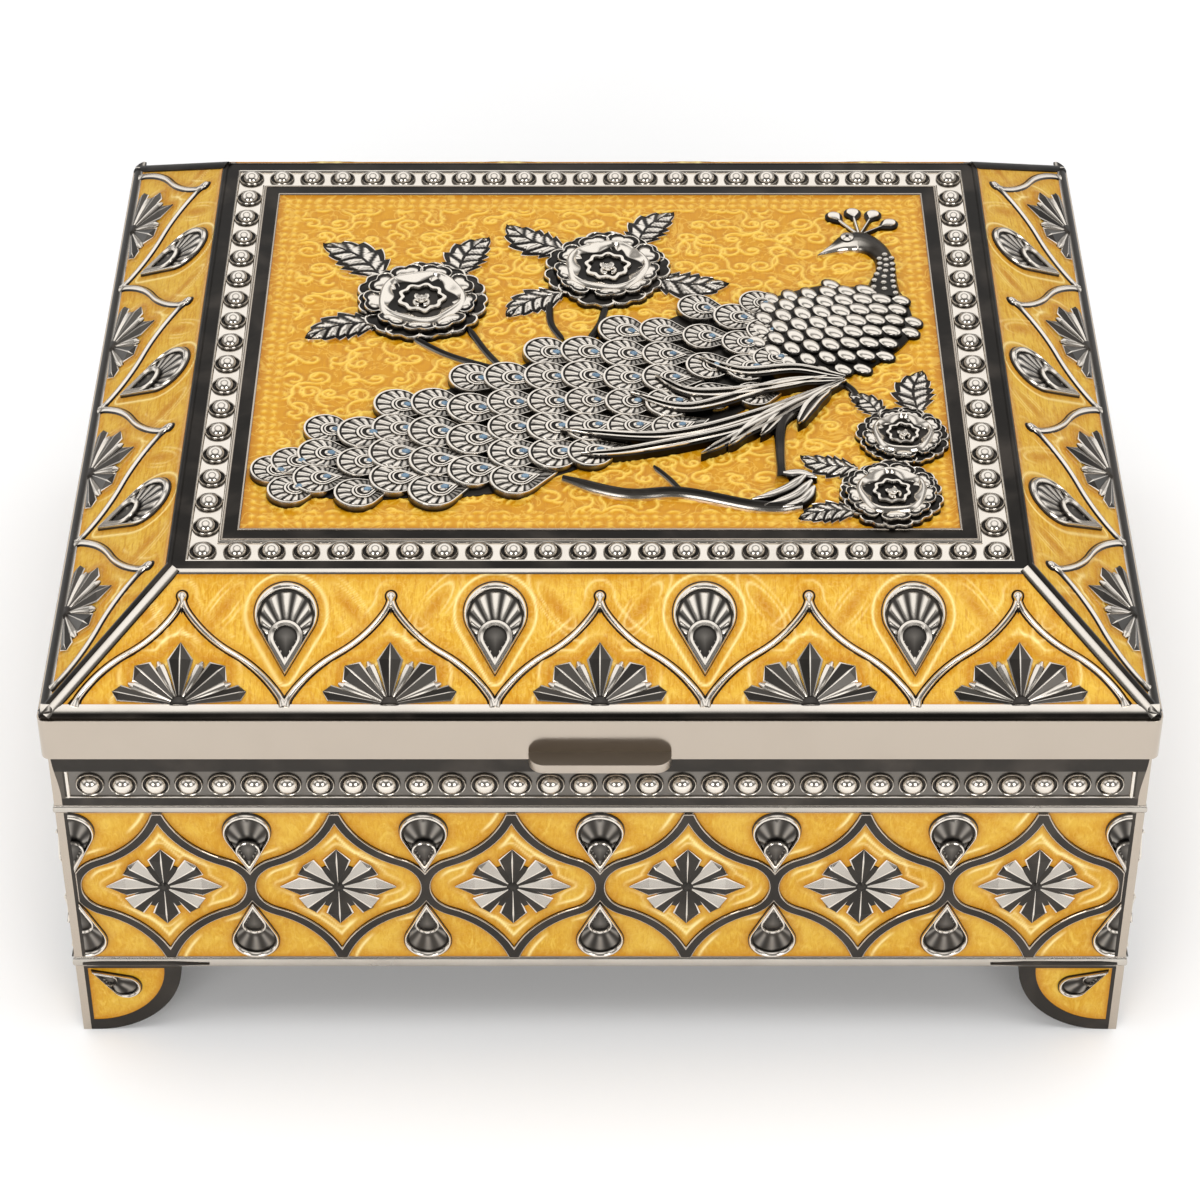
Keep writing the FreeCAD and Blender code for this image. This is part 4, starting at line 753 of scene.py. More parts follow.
def make_wall_field(side):
    """Enamel of one wall, meeting the straps, drops and rosettes with a small rise."""
    low, high = FIELD_LOW[2], FIELD_HIGH[2]
    half = SIDES[side][1] - STILE_WIDE
    rows = field_points(low, high, lambda up: half, FIELD_STEP)
    flat = rows.reshape(-1, 2)
    centres, half_cell = cell_centres(side)
    quarter = cell_quarter(half_cell, FIELD_TALL / 2)
    lines = [quarter * [a, b] + [x, FIELD_MIDDLE] for x in centres for a in (1, -1) for b in (1, -1)]
    to_straps = distances(flat, np.vstack(lines)) - STRAP_WIDE / 2
    drop = outline_marks(teardrop(DROP_RADIUS, DROP_TALL))
    to_drops = distances(flat, np.vstack([drop * [1, way] + [x, y] for x, y, way in drop_places(side)]))
    flower = np.vstack([outline_marks(turned(kite(*petal), -math.radians(bearing)))
                        for bearing, *petal in ROSETTE_PETALS])
    to_blooms = distances(flat, np.vstack([flower + [x, FIELD_MIDDLE] for x in centres]))
    shape = rows.shape[:2]
    gap = np.minimum.reduce([to_straps, to_drops, to_blooms]).reshape(shape)
    gap = np.minimum(gap, edge_gap(rows, low, high, lambda up: half))
    wander = 0.3 * np.sin(flat[:, 0] * 0.55 + 1.7 * np.sin(flat[:, 1] * 0.4))
    broken = np.clip(0.35 + 0.9 * np.sin(flat[:, 0] * 0.43 + flat[:, 1] * 0.31), 0, 1)
    # The pale lines along the straps and round the rosettes are painted highlights on the small rise of the
    # enamel.
    crest = swell(to_straps, 1.35 + wander * 0.3, 0.24) * broken
    crest += 0.6 * swell(to_blooms, 1.1 + wander, 0.22) * broken
    crest = (np.clip(crest, 0, 1) * np.clip(to_drops * 2, 0, 1)).reshape(shape)
    make_field(f"{side}_field_enamel", rows, gap, crest, crest * 0.12, 0.0, ENAMEL_UNDER,
               wall_seat(side, FIELD_FACE), "box", wall_enamel, f"{side}_enamel")


def rimmed_drop(casting, seat, radius, tall, thick, flutes, flute_tint, inner, ring_in):
    """A drop with a thin bright rim, a fluted bowl and a smaller ringed drop that shares its point."""
    outline = teardrop(radius, tall, 96)
    heart = np.array([0, tall * 0.4])
    rays = outline - heart
    angle = np.arctan2(rays[:, 0], rays[:, 1])
    wave = 0.5 + 0.5 * np.cos(angle * flutes)
    tint = flute_tint[1] + (flute_tint[0] - flute_tint[1]) * wave
    bowl = relief(outline, heart, [
        (0.0, 0.3 * thick, 0.95),
        (0.3, 0.34 * thick, 0.95),
        (0.42, 0.36 * thick + 0.1 * wave, tint),
        (0.74, 0.42 * thick + 0.24 * wave, tint),
        (0.8, 0.36 * thick + 0.1 * wave, tint),
        (0.815, 0.3 * thick, 1.0),
        (0.85, 0.3 * thick, 1.0),
        (0.865, 0.75 * thick, 0.1),
        (0.9, thick, 0.0),
        (0.94, 0.98 * thick, 0.0),
        (0.965, 0.75 * thick, 0.05),
        (0.975, 0.5 * thick, 1.0),
        (1.0, 0.45 * thick, 1.0),
        (1.0, 0.0, 1.0),
    ])
    small = teardrop(radius * inner, tall * inner, 56)
    stone = relief(small, (0, (tall - radius) * inner), [
        (0.0, 0.66 * thick, 0.72),
        (0.5, 0.58 * thick, 0.85),
        (ring_in - 0.08, 0.5 * thick, 0.97),
        (ring_in - 0.02, 0.55 * thick, 0.97),
        (ring_in, 0.95 * thick, 0.1),
        ((ring_in + 0.94) / 2, 1.25 * thick, 0.0),
        (0.94, 1.1 * thick, 0.0),
        (0.97, 0.8 * thick, 0.97),
        (1.0, 0.75 * thick, 1.0),
        (1.0, 0.2 * thick, 1.0),
    ])
    casting.place(bowl, seat)
    casting.place(stone, seat @ spot(0, tall * 0.03))


def cut_ends(casting, half):
    """A copy of a casting cut square at both ends of a field, with the cuts closed."""
    work = bmesh.new()
    shade = work.verts.layers.float.new("shade")
    made = []
    for point, tint in zip(np.vstack(casting.points), np.concatenate(casting.shades)):
        vertex = work.verts.new(point)
        vertex[shade] = tint
        made.append(vertex)
    for face in casting.faces:
        work.faces.new([made[index] for index in face])
    for sign in (1, -1):
        geometry = work.verts[:] + work.edges[:] + work.faces[:]
        plane = {"plane_co": (sign * half, 0, 0), "plane_no": (sign, 0, 0)}
        cut = bmesh.ops.bisect_plane(work, geom=geometry, clear_outer=True, dist=1e-5, **plane)
        edges = [item for item in cut["geom_cut"] if isinstance(item, bmesh.types.BMEdge)]
        bmesh.ops.holes_fill(work, edges=edges, sides=0)
    work.verts.index_update()
    result = Casting()
    result.add([vertex.co[:] for vertex in work.verts], [vertex[shade] for vertex in work.verts],
               [[vertex.index for vertex in face.verts] for face in work.faces])
    work.free()
    return result


def make_wall_drops():
    whole = Casting()
    for side in SIDES:
        row = Casting()
        for x, y, way in drop_places(side):
            place = spot(x, y, 0 if way > 0 else math.pi)
            rimmed_drop(row, place, DROP_RADIUS, DROP_TALL, 0.9, 14, (0.62, 0.93), 0.52, 0.74)
        whole.place(cut_ends(row, SIDES[side][1] - STILE_WIDE), wall_seat(side, FIELD_FACE))
    make_piece("wall_drop_ornament", whole, "box", dark_ornament, ["wall_drops"])


def facet_petal(casting, bearing, reach, waist, half, left, right, ridge=0.15, edge=0.1, crown=1.3):
    """A roof-shaped petal with two flat flanks, a bright ridge and bright edges."""
    flank = np.array([0.04, 0.08, 0.97 - edge, 1.0 - edge, 1.0])
    columns = np.concatenate([-flank[::-1], flank])
    along = np.array([0.0, 0.05, waist, 1.0])
    top = crown * np.array([0.45, 0.5, 1.0, 0.62])[:, None]
    low = crown * np.array([0.35, 0.35, 0.42, 0.4])[:, None]
    height = low + (top - low) * (1 - np.abs(columns))[None, :]
    shade = np.array([0.1, 0.1, right, right, ridge, ridge, left, left, 0.1, 0.1])
    path = np.column_stack([np.zeros(4), along * reach])
    petal = bar(path, half * np.array([0.06, 0.1, 1.0, 0.02]), columns, height, shade)
    casting.place(petal, spot(0, 0, -math.radians(bearing)))


def make_rosettes():
    flower = Casting()
    # On each petal the flank that faces upwards is painted lighter and the other flank darker: painted light
    # and shade on the facets.
    for bearing, reach, waist, half in ROSETTE_PETALS:
        upward = 1.6 * math.sin(-math.radians(bearing))
        right = 0.95 - 0.5 * min(max(upward, 0.0), 1.0)
        left = 0.95 - 0.5 * min(max(-upward, 0.0), 1.0)
        facet_petal(flower, bearing, reach, waist, half, left, right, crown=1.0)
    mound(flower, circle(1.0, 16), (0, 0), [(0, 0.85, 0.9), (0.6, 0.8, 0.95), (1.0, 0.55, 1), (1.0, 0, 1)])
    mound(flower, circle(5.4, 32, 0.9), (0, 0), [
        (0, 0.5, 0.97), (0.7, 0.45, 0.97), (1.0, 0.4, 1), (1.0, 0, 1)])
    whole = Casting()
    for side in SIDES:
        for x in cell_centres(side)[0]:
            whole.place(flower, wall_seat(side, FIELD_FACE) @ spot(x, FIELD_MIDDLE))
    make_piece("wall_rosette_ornament", whole, "box", dark_ornament, ["wall_rosettes"],
               sharp=10)


# Beads and mouldings

BEAD_RADIUS = 1.7
BEAD_RING = 2.35
BEADS = {True: 32, False: 28}
BEAD_MARGIN = 4.2
STRIP_GROUND = -0.8


def bead_cup(radius, ring):
    """A half ball in a round cup."""
    dome = [(radius * math.sin(angle) / ring, 0.12 + radius * 0.92 * math.cos(angle), 0.0)
            for angle in np.linspace(0, QUARTER, 8)]
    return relief(circle(ring, 32), (0, 0), [
        *dome,
        (radius / ring + 0.02, 0.06, 1.0),
        (0.86, 0.08, 1.0),
        (0.9, 0.42, 0.5),
        (0.95, 0.5, 0.1),
        (1.0, 0.3, 0.6),
        (1.0, -0.05, 1.0),
    ])


def make_bead_strips():
    cup = bead_cup(BEAD_RADIUS, BEAD_RING)
    columns = np.array([-1.0, -1.0, -0.965, -0.93, -0.9, 0.9, 0.95, 1.0, 1.0])
    profile = np.array([0.0, 0.72, 0.8, 0.7, 0.4, 0.4, 0.62, 0.6, 0.0])
    tint = np.array([0.4, 0.05, 0.0, 0.2, 0.72, 0.72, 0.75, 0.8, 0.9])
    for side in SIDES:
        half = SIDES[side][1] - STILE_WIDE
        middle = (STRIP_LOW[2] + STRIP_HIGH[2]) / 2
        strip = bar(level_line(half, middle, 40), STRIP_TALL / 2, columns, profile, tint)
        ups = np.linspace(STRIP_LOW[2] + 0.1, STRIP_HIGH[2] - 0.1, 6)
        for sign in (1, -1):
            end = np.column_stack([np.full(6, sign * (half - 0.5)), ups])
            ribbon(strip, end, 0.4, ROUND_COLUMNS, 0.3 + 0.5 * ROUND_HEIGHT, 0.05)
        for x in np.linspace(BEAD_MARGIN - half, half - BEAD_MARGIN, BEADS[side in ACROSS]):
            strip.place(cup, spot(x, middle, 0, 0.38))
        make_piece(f"{side}_beaded_band", seated(strip, wall_seat(side, STRIP_GROUND)), "box", dark_ornament,
                   [f"{side}_bead_strip"])


LID_BEADS = (24, 18)
LID_BEAD_RADIUS = 1.6
LID_BEAD_RING = 2.3
LID_GROUND = -0.8
TAPER_LONG = 21.5


def make_lid_bead_frame():
    """The beaded channel round the flat top."""
    channel = Casting()
    half = CHANNEL_WIDE / 2
    x, y = BEAD_FRAME_HIGH[0] - half, BEAD_FRAME_HIGH[1] - half
    section = [(half, 0.0), (half, 0.75), (half - 0.15, 0.85), (half - 0.3, 0.75), (half - 0.42, 0.42),
               (0.42 - half, 0.42), (0.3 - half, 0.75), (0.15 - half, 0.85), (-half, 0.75), (-half, 0.0)]
    tint = np.repeat([0.3, 0.0, 0.0, 0.1, 0.12, 0.12, 0.1, 0.0, 0.0, 0.3], 4)
    frame_loop(channel, x, y, section, tint)
    cup = bead_cup(LID_BEAD_RADIUS, LID_BEAD_RING)
    across, upward = np.linspace(-x, x, LID_BEADS[0]), np.linspace(-y, y, LID_BEADS[1])[1:-1]
    for place in around(x, y, across, upward):
        channel.place(cup, spot(*place, 0, 0.4))
    make_piece("lid_beaded_frame", seated(channel, spot(0, 0, 0, LID_HIGH[2] + LID_GROUND)), "lid",
               cast_ornament, ["lid_bead_frame"])


def make_mouldings():
    """Half round lines on the walls, dark tapers above the feet and fine lines on the flat top."""
    trim = Casting()
    x, y = WALL_HIGH[0], -WALL_LOW[1]
    for low, high, proud in ((FIELD_HIGH[2] + 0.05, FIELD_HIGH[2] + BAND_LINE, 0.4),
                             (FOOT_HIGH + 0.1, FIELD_LOW[2] - 0.1, 0.45)):
        middle, half = (low + high) / 2, (high - low) / 2
        section = [(proud * out - 0.1, middle + half * up) for up, out in half_round(2.0, 1.0)]
        frame_loop(trim, x, y, section[::-1], 0.4)
    for side in SIDES:
        for sign in (1, -1):
            outer = SIDES[side][1] - STILE_FACE
            along = np.linspace(outer, outer - TAPER_LONG, 16)
            path = np.column_stack([sign * along, np.full(16, FOOT_HIGH + 1.0)])
            wide = np.interp(np.linspace(0, 1, 16), [0, 0.1, 0.75, 1], [0.1, 0.5, 0.5, 0.02])
            taper = bar(path, wide, ROUND_COLUMNS, 0.35 + 0.35 * ROUND_HEIGHT, 0.92)
            trim.place(taper, wall_seat(side))
    make_piece("wall_mouldings", trim, "box", dark_ornament)
    lines = Casting()
    inner = CHANNEL_OUT + CHANNEL_WIDE
    panel = FLAT_HALF[0] - PANEL_HIGH[0]
    for inset, wide, proud in ((inner + 0.25, 0.35, 0.2), (panel - 0.2, 0.4, 0.22)):
        section = [(out, LID_HIGH[2] - 0.04 + up) for out, up in half_round(wide, proud)]
        frame_loop(lines, FLAT_HALF[0] - inset, FLAT_HALF[1] - inset, section)
    make_piece("flat_top_lines", lines, "lid", bright_plating)


# Slopes of the lid

BAYS = {True: 5, False: 4}
ARCH_MARGIN = 6.0
ARCH_TALL = 19.8
ARCH_FLAT = math.radians(20)
ARCH_RISE = math.radians(6)
SLOPE_MARGIN = 0.8
FRAME_LOW = 1.5
FRAME_SIDE = 1.1
SLOPE_FACE = 0.25
PALMETTE_REACH = 10.4
TEARDROP_RADIUS = 5.25
TEARDROP_TALL = 15.8
TEARDROP_LOW = 6.9
# Leaf-shaped deeper spots of the enamel beside each arch
LEAF_SPOT_OUT = 6.9
LEAF_SPOT_UP = 18.6
LEAF_SPOT_LEAN = math.radians(37)
LEAF_SPOT_HALF = (1.05, 3.4)
SLOPE_UNDER = -0.25
# Ribs and ornament of the rear slope lie flatter than the others
REAR_RIBS_HIGH = 0.5
REAR_ORNAMENT_HIGH = 0.45
FINIAL_BELOW = 3.4
FINIAL_RINGS = [(0, 1.15, 0.0), (0.5, 1.05, 0.0), (0.7, 0.8, 0.05), (0.74, 0.62, 1.0), (1.0, 0.45, 1.0),
                (1.0, 0.0, 1.0)]
# Shades across the rim strip, the hip ridges and the top line: front and rear, then left and right
SLOPE_TINTS = {
    True: ([0.97, 0.97, 0.9, 0.25, 0.1, 0.0, 0.6], [1.0, 0.95, 0.1, 0.0, 0.0, 0.1, 0.95],
           [1.0, 0.97, 0.1, 0.0, 0.0, 0.5, 1.0]),
    False: ([0.97, 0.95, 0.9, 0.85, 0.8, 0.3, 0.9], [0.97] * 7, [0.5, 0.6, 0.97, 0.97, 0.97, 0.97, 1.0]),
}


def bay_centres(side):
    return shares_of(lid_half(side) - ARCH_MARGIN, BAYS[side in ACROSS])


def arch_line(half_wide):
    """Middle line of a rib from the foot of an arch to its point, upright at both ends."""
    chord = math.atan2(ARCH_TALL, half_wide)
    flare, steep = chord - ARCH_FLAT, chord + ARCH_RISE
    shares = 2 * np.array([[1 - math.sin(steep), math.sin(steep) - math.sin(flare)],
                           [math.cos(steep), math.cos(flare) - math.cos(steep)]])
    end_radius, radius = np.linalg.solve(shares, [half_wide, ARCH_TALL])
    line = np.array([(-half_wide, SLOPE_MARGIN)])
    heading = QUARTER
    for size, bend in ((end_radius, steep - QUARTER), (radius, flare - steep), (radius, steep - flare),
                       (end_radius, QUARTER - steep)):
        line = np.vstack([line, arc_points(line[-1], heading, size, bend, 14)[1:]])
        heading += bend
    return line[line[:, 1] > SLOPE_MARGIN + 1.0]


def slope_limits():
    return SLOPE_MARGIN + FRAME_LOW, SLOPE_LONG - FRAME_SIDE


def palmette_outline():
    """Outer edge of a palmette, for the enamel that meets it."""
    angles = np.linspace(-1.5, 1.5, 50)
    reach = PALMETTE_REACH * (0.9 + 0.09 * np.cos(angles * 7.3))
    return np.vstack([np.column_stack([reach * np.sin(angles), reach * np.cos(angles)]), [[0, 0]]])[::-1]


def make_slope_field(side):
    """Enamel of a slope with fine raised lines that follow the ornament and leaf-shaped deeper spots."""
    low, high = slope_limits()

    def half_at(up):
        return slope_half(side, up) - FRAME_SIDE

    rows = field_points(low, high, half_at, FIELD_STEP)
    flat = rows.reshape(-1, 2)
    shape = rows.shape[:2]
    centres, half = bay_centres(side)
    rib = arch_line(half)
    ribs = np.vstack([rib * [sign, 1] + [x, 0] for x in centres for sign in (1, -1)])
    to_ribs = distances(flat, ribs) - 0.45
    drop = outline_marks(teardrop(TEARDROP_RADIUS, TEARDROP_TALL))
    to_drops = distances(flat, np.vstack([drop + [x - half, TEARDROP_LOW] for x in centres[1:]]))
    fan = outline_marks(palmette_outline())
    to_fans = distances(flat, np.vstack([fan + [x, low] for x in centres]))
    gap = np.minimum.reduce([to_ribs, to_drops, to_fans]).reshape(shape)
    gap = np.minimum(gap, edge_gap(rows, low, high, half_at))
    leaf_gap = np.full(len(flat), 9.0)
    for x in centres:
        for sign in (1, -1):
            local = turned(flat - [x + sign * LEAF_SPOT_OUT, LEAF_SPOT_UP], sign * LEAF_SPOT_LEAN)
            leaf_gap = np.minimum(leaf_gap, np.hypot(*(local / LEAF_SPOT_HALF).T))
    broken = np.clip(0.6 + 0.8 * np.sin(flat[:, 0] * 0.5 + 2 * np.sin(flat[:, 1] * 0.35)), 0.15, 1)
    halo = swell(to_drops, 1.35, 0.19) + 0.7 * swell(to_fans, 1.5, 0.2) * broken
    halo += (0.6 * swell(leaf_gap, 1.4, 0.1) + 0.5 * swell(leaf_gap, 2.1, 0.12)) * broken
    halo += 0.55 * swell(to_ribs, 1.9, 0.18) * (flat[:, 1] > low + 11) * broken
    crest = np.clip(halo, 0, 1).reshape(shape)
    tint = 0.9 * np.exp(-leaf_gap ** 2).reshape(shape)
    make_field(f"{side}_slope_field", rows, gap, crest, crest * 0.1, tint, SLOPE_UNDER,
               slope_seat(side, SLOPE_FACE), "lid", slope_enamel, f"{side}_slope_enamel")


def make_slope_frame(side):
    """Arched ribs with finials, the strip along the rim, the ridges along the hips and the top line."""
    work = Casting()
    strip_tint, hip_tint, top_tint = np.array(SLOPE_TINTS[side in ACROSS])
    centres, half = bay_centres(side)
    rib = arch_line(half)
    rib_wide = np.interp(np.linspace(0, 1, len(rib)), [0, 0.1, 0.5, 0.95, 1], [1.25, 0.8, 0.68, 0.72, 0.85])
    columns = np.array([-1.0, -0.6, -0.55, -0.3, 0.05, 0.35, 0.6, 0.65, 1.0])
    profile = np.array([0.35, 0.58, 0.66, 0.9, 1.0, 0.9, 0.66, 0.58, 0.4])
    rib_tint = np.array([1.0, 1.0, 0.1, 0.0, 0.0, 0.0, 0.1, 1.0, 1.0])
    for x in centres:
        for sign in (1, -1):
            line = rib * [sign, 1] + [x, 0]
            ribbon(work, line, rib_wide, sign * columns[::sign], profile[::sign], rib_tint[::sign])
        tip = rib[-1] + [x, -FINIAL_BELOW]
        mound(work, teardrop(1.05, 4.1, 28) + tip, tip + [0, 2.9], FINIAL_RINGS)
    low_half = slope_half(side, 0) - 0.2
    path = level_line(low_half, SLOPE_MARGIN + 0.5, 60)
    ribbon(work, path, 1.3, ROUND_COLUMNS, 0.1 + 0.55 * np.sqrt(ROUND_HEIGHT), strip_tint)
    top_half = slope_half(side, SLOPE_LONG)
    for sign in (1, -1):
        foot = np.array([sign * (slope_half(side, 0.4) - 0.75), 0.4])
        head = np.array([sign * (top_half - 0.75), SLOPE_LONG - 0.1])
        line = foot + (head - foot) * np.linspace(0, 1, 24)[:, None]
        ribbon(work, line, 0.95, ROUND_COLUMNS, 0.1 + 0.62 * np.sqrt(ROUND_HEIGHT), hip_tint[::-sign])
    path = level_line(top_half, SLOPE_LONG - 0.6, 60)
    ribbon(work, path, 0.62, ROUND_COLUMNS, 0.1 + 0.36 * np.sqrt(ROUND_HEIGHT), top_tint)
    seat = slope_seat(side) @ stretched(1.0, REAR_RIBS_HIGH if side == "rear" else 1.0)
    make_piece(f"{side}_slope_ribs", seated(work, seat), "lid", cast_ornament,
               [f"{side}_slope_frame"])


# Petals and ribs of a palmette: bearing from upright in degrees, reach, widest share, half width
PALMETTE_PETALS = [(0, 10.2, 0.72, 2.1), (-49, 9.6, 0.85, 2.15), (49, 9.6, 0.85, 2.15),
                   (-79, 10.9, 0.9, 1.35), (79, 10.9, 0.9, 1.35)]
PALMETTE_RIBS = [(-27, 7.9), (27, 7.9), (-67, 8.9), (67, 8.9)]


def make_slope_ornament():
    fan = Casting()
    # One flank of each petal is painted a little lighter than the other: painted light and shade on the
    # facets.
    for bearing, reach, waist, half in PALMETTE_PETALS:
        facet_petal(fan, bearing, reach, waist, half, 0.95, 0.8, 0.05, 0.14, 1.05)
    along = np.linspace(0, 1, 10)
    wide = np.interp(along, [0, 0.8, 0.94, 1.0], [0.1, 0.8, 0.75, 0.25])
    crown = np.interp(along, [0, 0.5, 0.95, 1.0], [0.5, 0.85, 0.9, 0.4])[:, None]
    for bearing, reach in PALMETTE_RIBS:
        rib = bar(np.column_stack([np.zeros(10), along * reach]), wide, ROUND_COLUMNS,
                  crown * (0.3 + 0.7 * ROUND_HEIGHT), [0.9, 0.2, 0.0, 0.0, 0.0, 0.2, 0.9])
        fan.place(rib, spot(0, 0, -math.radians(bearing)))
    mound(fan, circle(1.5, 24)[:13], (0, 0.4), [
        (0, 0.9, 0.8), (0.7, 0.85, 0.9), (1.0, 0.5, 1.0), (1.0, 0, 1)])
    fans = Casting()
    drops = Casting()
    for side in SIDES:
        flatness = REAR_ORNAMENT_HIGH if side == "rear" else 1.0
        seat = slope_seat(side, SLOPE_FACE) @ stretched(1.0, flatness)
        centres, half = bay_centres(side)
        for x in centres:
            fans.place(fan, seat @ spot(x, slope_limits()[0]))
        for x in centres[1:]:
            place = seat @ spot(x - half, TEARDROP_LOW)
            rimmed_drop(drops, place, TEARDROP_RADIUS, TEARDROP_TALL, 0.95, 20, (0.0, 0.97), 0.56, 0.66)
    make_piece("slope_palmette_ornament", fans, "lid", dark_ornament, ["slope_palmettes"],
               sharp=12)
    make_piece("slope_teardrop_ornament", drops, "lid", dark_ornament, ["slope_teardrops"])


# Feet

FOOT_LEAF = (2.5, 9.6)
FOOT_LEAF_SLANT = math.radians(124)
FOOT_LEAF_INSET = 0.5
FOOT_TOE = 0.4
FOOT_FACE = -0.8


def make_feet():
    """Enamel cells of the feet with a slanting rimmed leaf on each."""
    radius = FOOT_CELL_HIGH[2] - FOOT_CELL_LOW[2]
    angles = np.linspace(math.pi, 1.5 * math.pi, 20)
    bow = np.column_stack([radius * np.cos(angles) - FOOT_TOE, radius * np.sin(angles)])
    outline = outline_marks(np.vstack([bow, [[0, -radius], [0, 0]]]), 0.6)
    cell = relief(outline, (-radius * 0.4, -radius * 0.4), [
        (0, 0.5, 0), (0.5, 0.5, 0), (0.8, 0.52, 0.2), (0.93, 0.6, 0.7), (1.0, 0.72, 1.0), (1, 0, 1)])
    leaf = Casting()
    rimmed_drop(leaf, np.eye(4), *FOOT_LEAF, 0.8, 10, (0.6, 0.97), 0.5, 0.8)
    leaf_place = spot(-FOOT_LEAF_INSET, -FOOT_LEAF_INSET, FOOT_LEAF_SLANT, 0.5)
    enamels = Casting()
    leaves = Casting()
    for side in SIDES:
        corner = spot(SIDES[side][1] - STILE_WIDE, FOOT_CELL_HIGH[2])
        for hand in (1.0, -1.0):
            place = wall_seat(side, FOOT_FACE) @ np.diag([hand, 1.0, 1.0, 1.0]) @ corner
            enamels.place(cell, place)
            leaves.place(leaf, place @ leaf_place)
    make_piece("foot_cell_enamel", enamels, "box", wall_enamel, ["foot_enamel"],
               extra={"crest": np.zeros(enamels.count)})
    make_piece("foot_leaf_ornament", leaves, "box", dark_ornament, ["foot_leaves"])


# Panel of the lid: enamel with scrolls

PANEL_STEP = 0.3
SCROLL_PITCH = 4.7
DOT_PITCH = 1.9
DOT_INSETS = (1.7, 3.4)
DOT_BORDER = 4.2
PANEL_UNDER = -0.65


def scroll_work():
    """Marks of the scrolls that cover the panel, each with a tail that swings back and a bud."""
    chance = np.random.default_rng(7)
    marks = []
    columns = int(2 * PANEL_HIGH[0] / SCROLL_PITCH)
    rows = int(2 * PANEL_HIGH[1] / SCROLL_PITCH)
    wind = np.linspace(0, 1, 60)
    for i in range(columns):
        for k in range(rows):
            hand = 1 if (i + k) % 2 else -1
            place = (np.array([i - columns / 2 + 0.25 + 0.5 * (k % 2), k - rows / 2 + 0.5]) * SCROLL_PITCH
                     + chance.uniform(-0.8, 0.8, 2))
            angle = chance.uniform(0, 2 * math.pi) + hand * wind * 2 * math.pi * chance.uniform(0.6, 1.4)
            radius = chance.uniform(0.25, 0.85) + chance.uniform(1.1, 1.75) * wind ** 0.9
            curl = place + np.column_stack([radius * np.cos(angle), 0.8 * radius * np.sin(angle)])
            heading = math.atan2(*(curl[-1] - curl[-2])[::-1])
            swing = chance.uniform(1.1, 3.1)
            tail = arc_points(curl[-1], heading, swing, -hand * chance.uniform(1.0, 2.4), 36)
            marks += [curl, tail, arc_points(curl[30], heading + 2, 0.8, hand * 2.0, 16)]
    return np.vstack(marks)


def border_dots():
    dots = []
    for inset in DOT_INSETS:
        x, y = PANEL_HIGH[0] - inset, PANEL_HIGH[1] - inset
        dots += around(x, y, np.arange(-x, x, DOT_PITCH), np.arange(-y, y, DOT_PITCH))
    return np.array(dots)


def make_panel():
    low, high = -PANEL_HIGH[1], PANEL_HIGH[1]
    rows = field_points(low, high, lambda up: PANEL_HIGH[0], PANEL_STEP)
    flat = rows.reshape(-1, 2)
    shape = rows.shape[:2]
    gap = edge_gap(rows, low, high, lambda up: PANEL_HIGH[0])
    inner = np.clip((gap.reshape(-1) - DOT_BORDER) / 0.8, 0, 1)
    to_scrolls = distances(flat, scroll_work())
    crest = np.maximum(swell(to_scrolls, 0, 0.24) * inner,
                       0.8 * swell(distances(flat, border_dots()), 0, 0.45)).reshape(shape)
    # A deeper tint just beside each scroll is painted shadow of the raised scrolls.
    hollow = (0.4 * swell(to_scrolls, 0.65, 0.28) * inner).reshape(shape)
    make_field("panel_scroll_enamel", rows, gap, crest, crest * 0.22, hollow, PANEL_UNDER, PANEL_SEAT, "lid",
               panel_enamel, "panel_enamel")


# Relief of the panel: a bird with a long train, blossoms, leaves and a branch

TRAIN_UPPER = [(30, 15.5), (25, 14.5), (17.4, 13.5), (8.6, 8), (0.8, 4.9), (-7.5, 0.5), (-15.4, -4.3),
               (-23.2, -8.3), (-31, -13.5), (-37.8, -18.1), (-45.8, -22.6), (-51.5, -28.9), (-55.5, -37)]
TRAIN_LOWER = [(33, -7), (28.5, -14), (20, -20.5), (10.5, -25.5), (2, -29.5), (-5.5, -34.5), (-13.5, -38.5),
               (-22.2, -41), (-30.2, -41), (-38.1, -41.8), (-46.9, -41.2), (-51, -40.6), (-54, -40)]
FEATHER_LONG = 11.6
FEATHER_RADIUS = 4.0
FEATHER_EYE = 5.7
FEATHER_COLUMNS = 15
FEATHER_PITCH = 7.5
FEATHER_TILT = math.radians(4.5)
BODY_EDGE = [(26.2, 12.2), (25.8, -0.3), (33.7, -5.6), (43.6, -6.4), (49.7, -1.9), (54.2, 4.3),
             (54.9, 10.6), (52.8, 18.5), (48.3, 19.8), (44.1, 19.3), (39.4, 19.7), (32.3, 16.9)]
BODY_HEART = (41.5, 7.0)
BODY_CROWN = [(0.0, 1.7), (0.35, 1.65), (0.6, 1.45), (0.8, 1.1), (0.93, 0.75), (1.0, 0.45)]
SCALE_AXIS = math.radians(-48)
SCALE_PITCH = (3.9, 2.75)
NECK = [(50.4, 15.2), (50.4, 19.6), (51.1, 23.8), (51.0, 27.8), (49.6, 31.1), (47.0, 33.2), (44.5, 32.6),
        (42.4, 31.2), (40.8, 30.0), (39.1, 28.8)]
NECK_HALF = [3.2, 2.7, 1.8, 1.7, 2.0, 2.8, 2.4, 1.25, 0.7, 0.1]
NECK_HIGH = [1.6, 1.7, 1.7, 1.7, 1.7, 1.75, 1.7, 1.4, 1.2, 0.8]
EYE_PATCH = (44.6, 33.1)
CREST_ROOT = (47.0, 35.3)
CREST_TIPS = [(43.5, 40.2), (46.3, 41.0), (49.2, 40.5), (51.3, 38.2)]
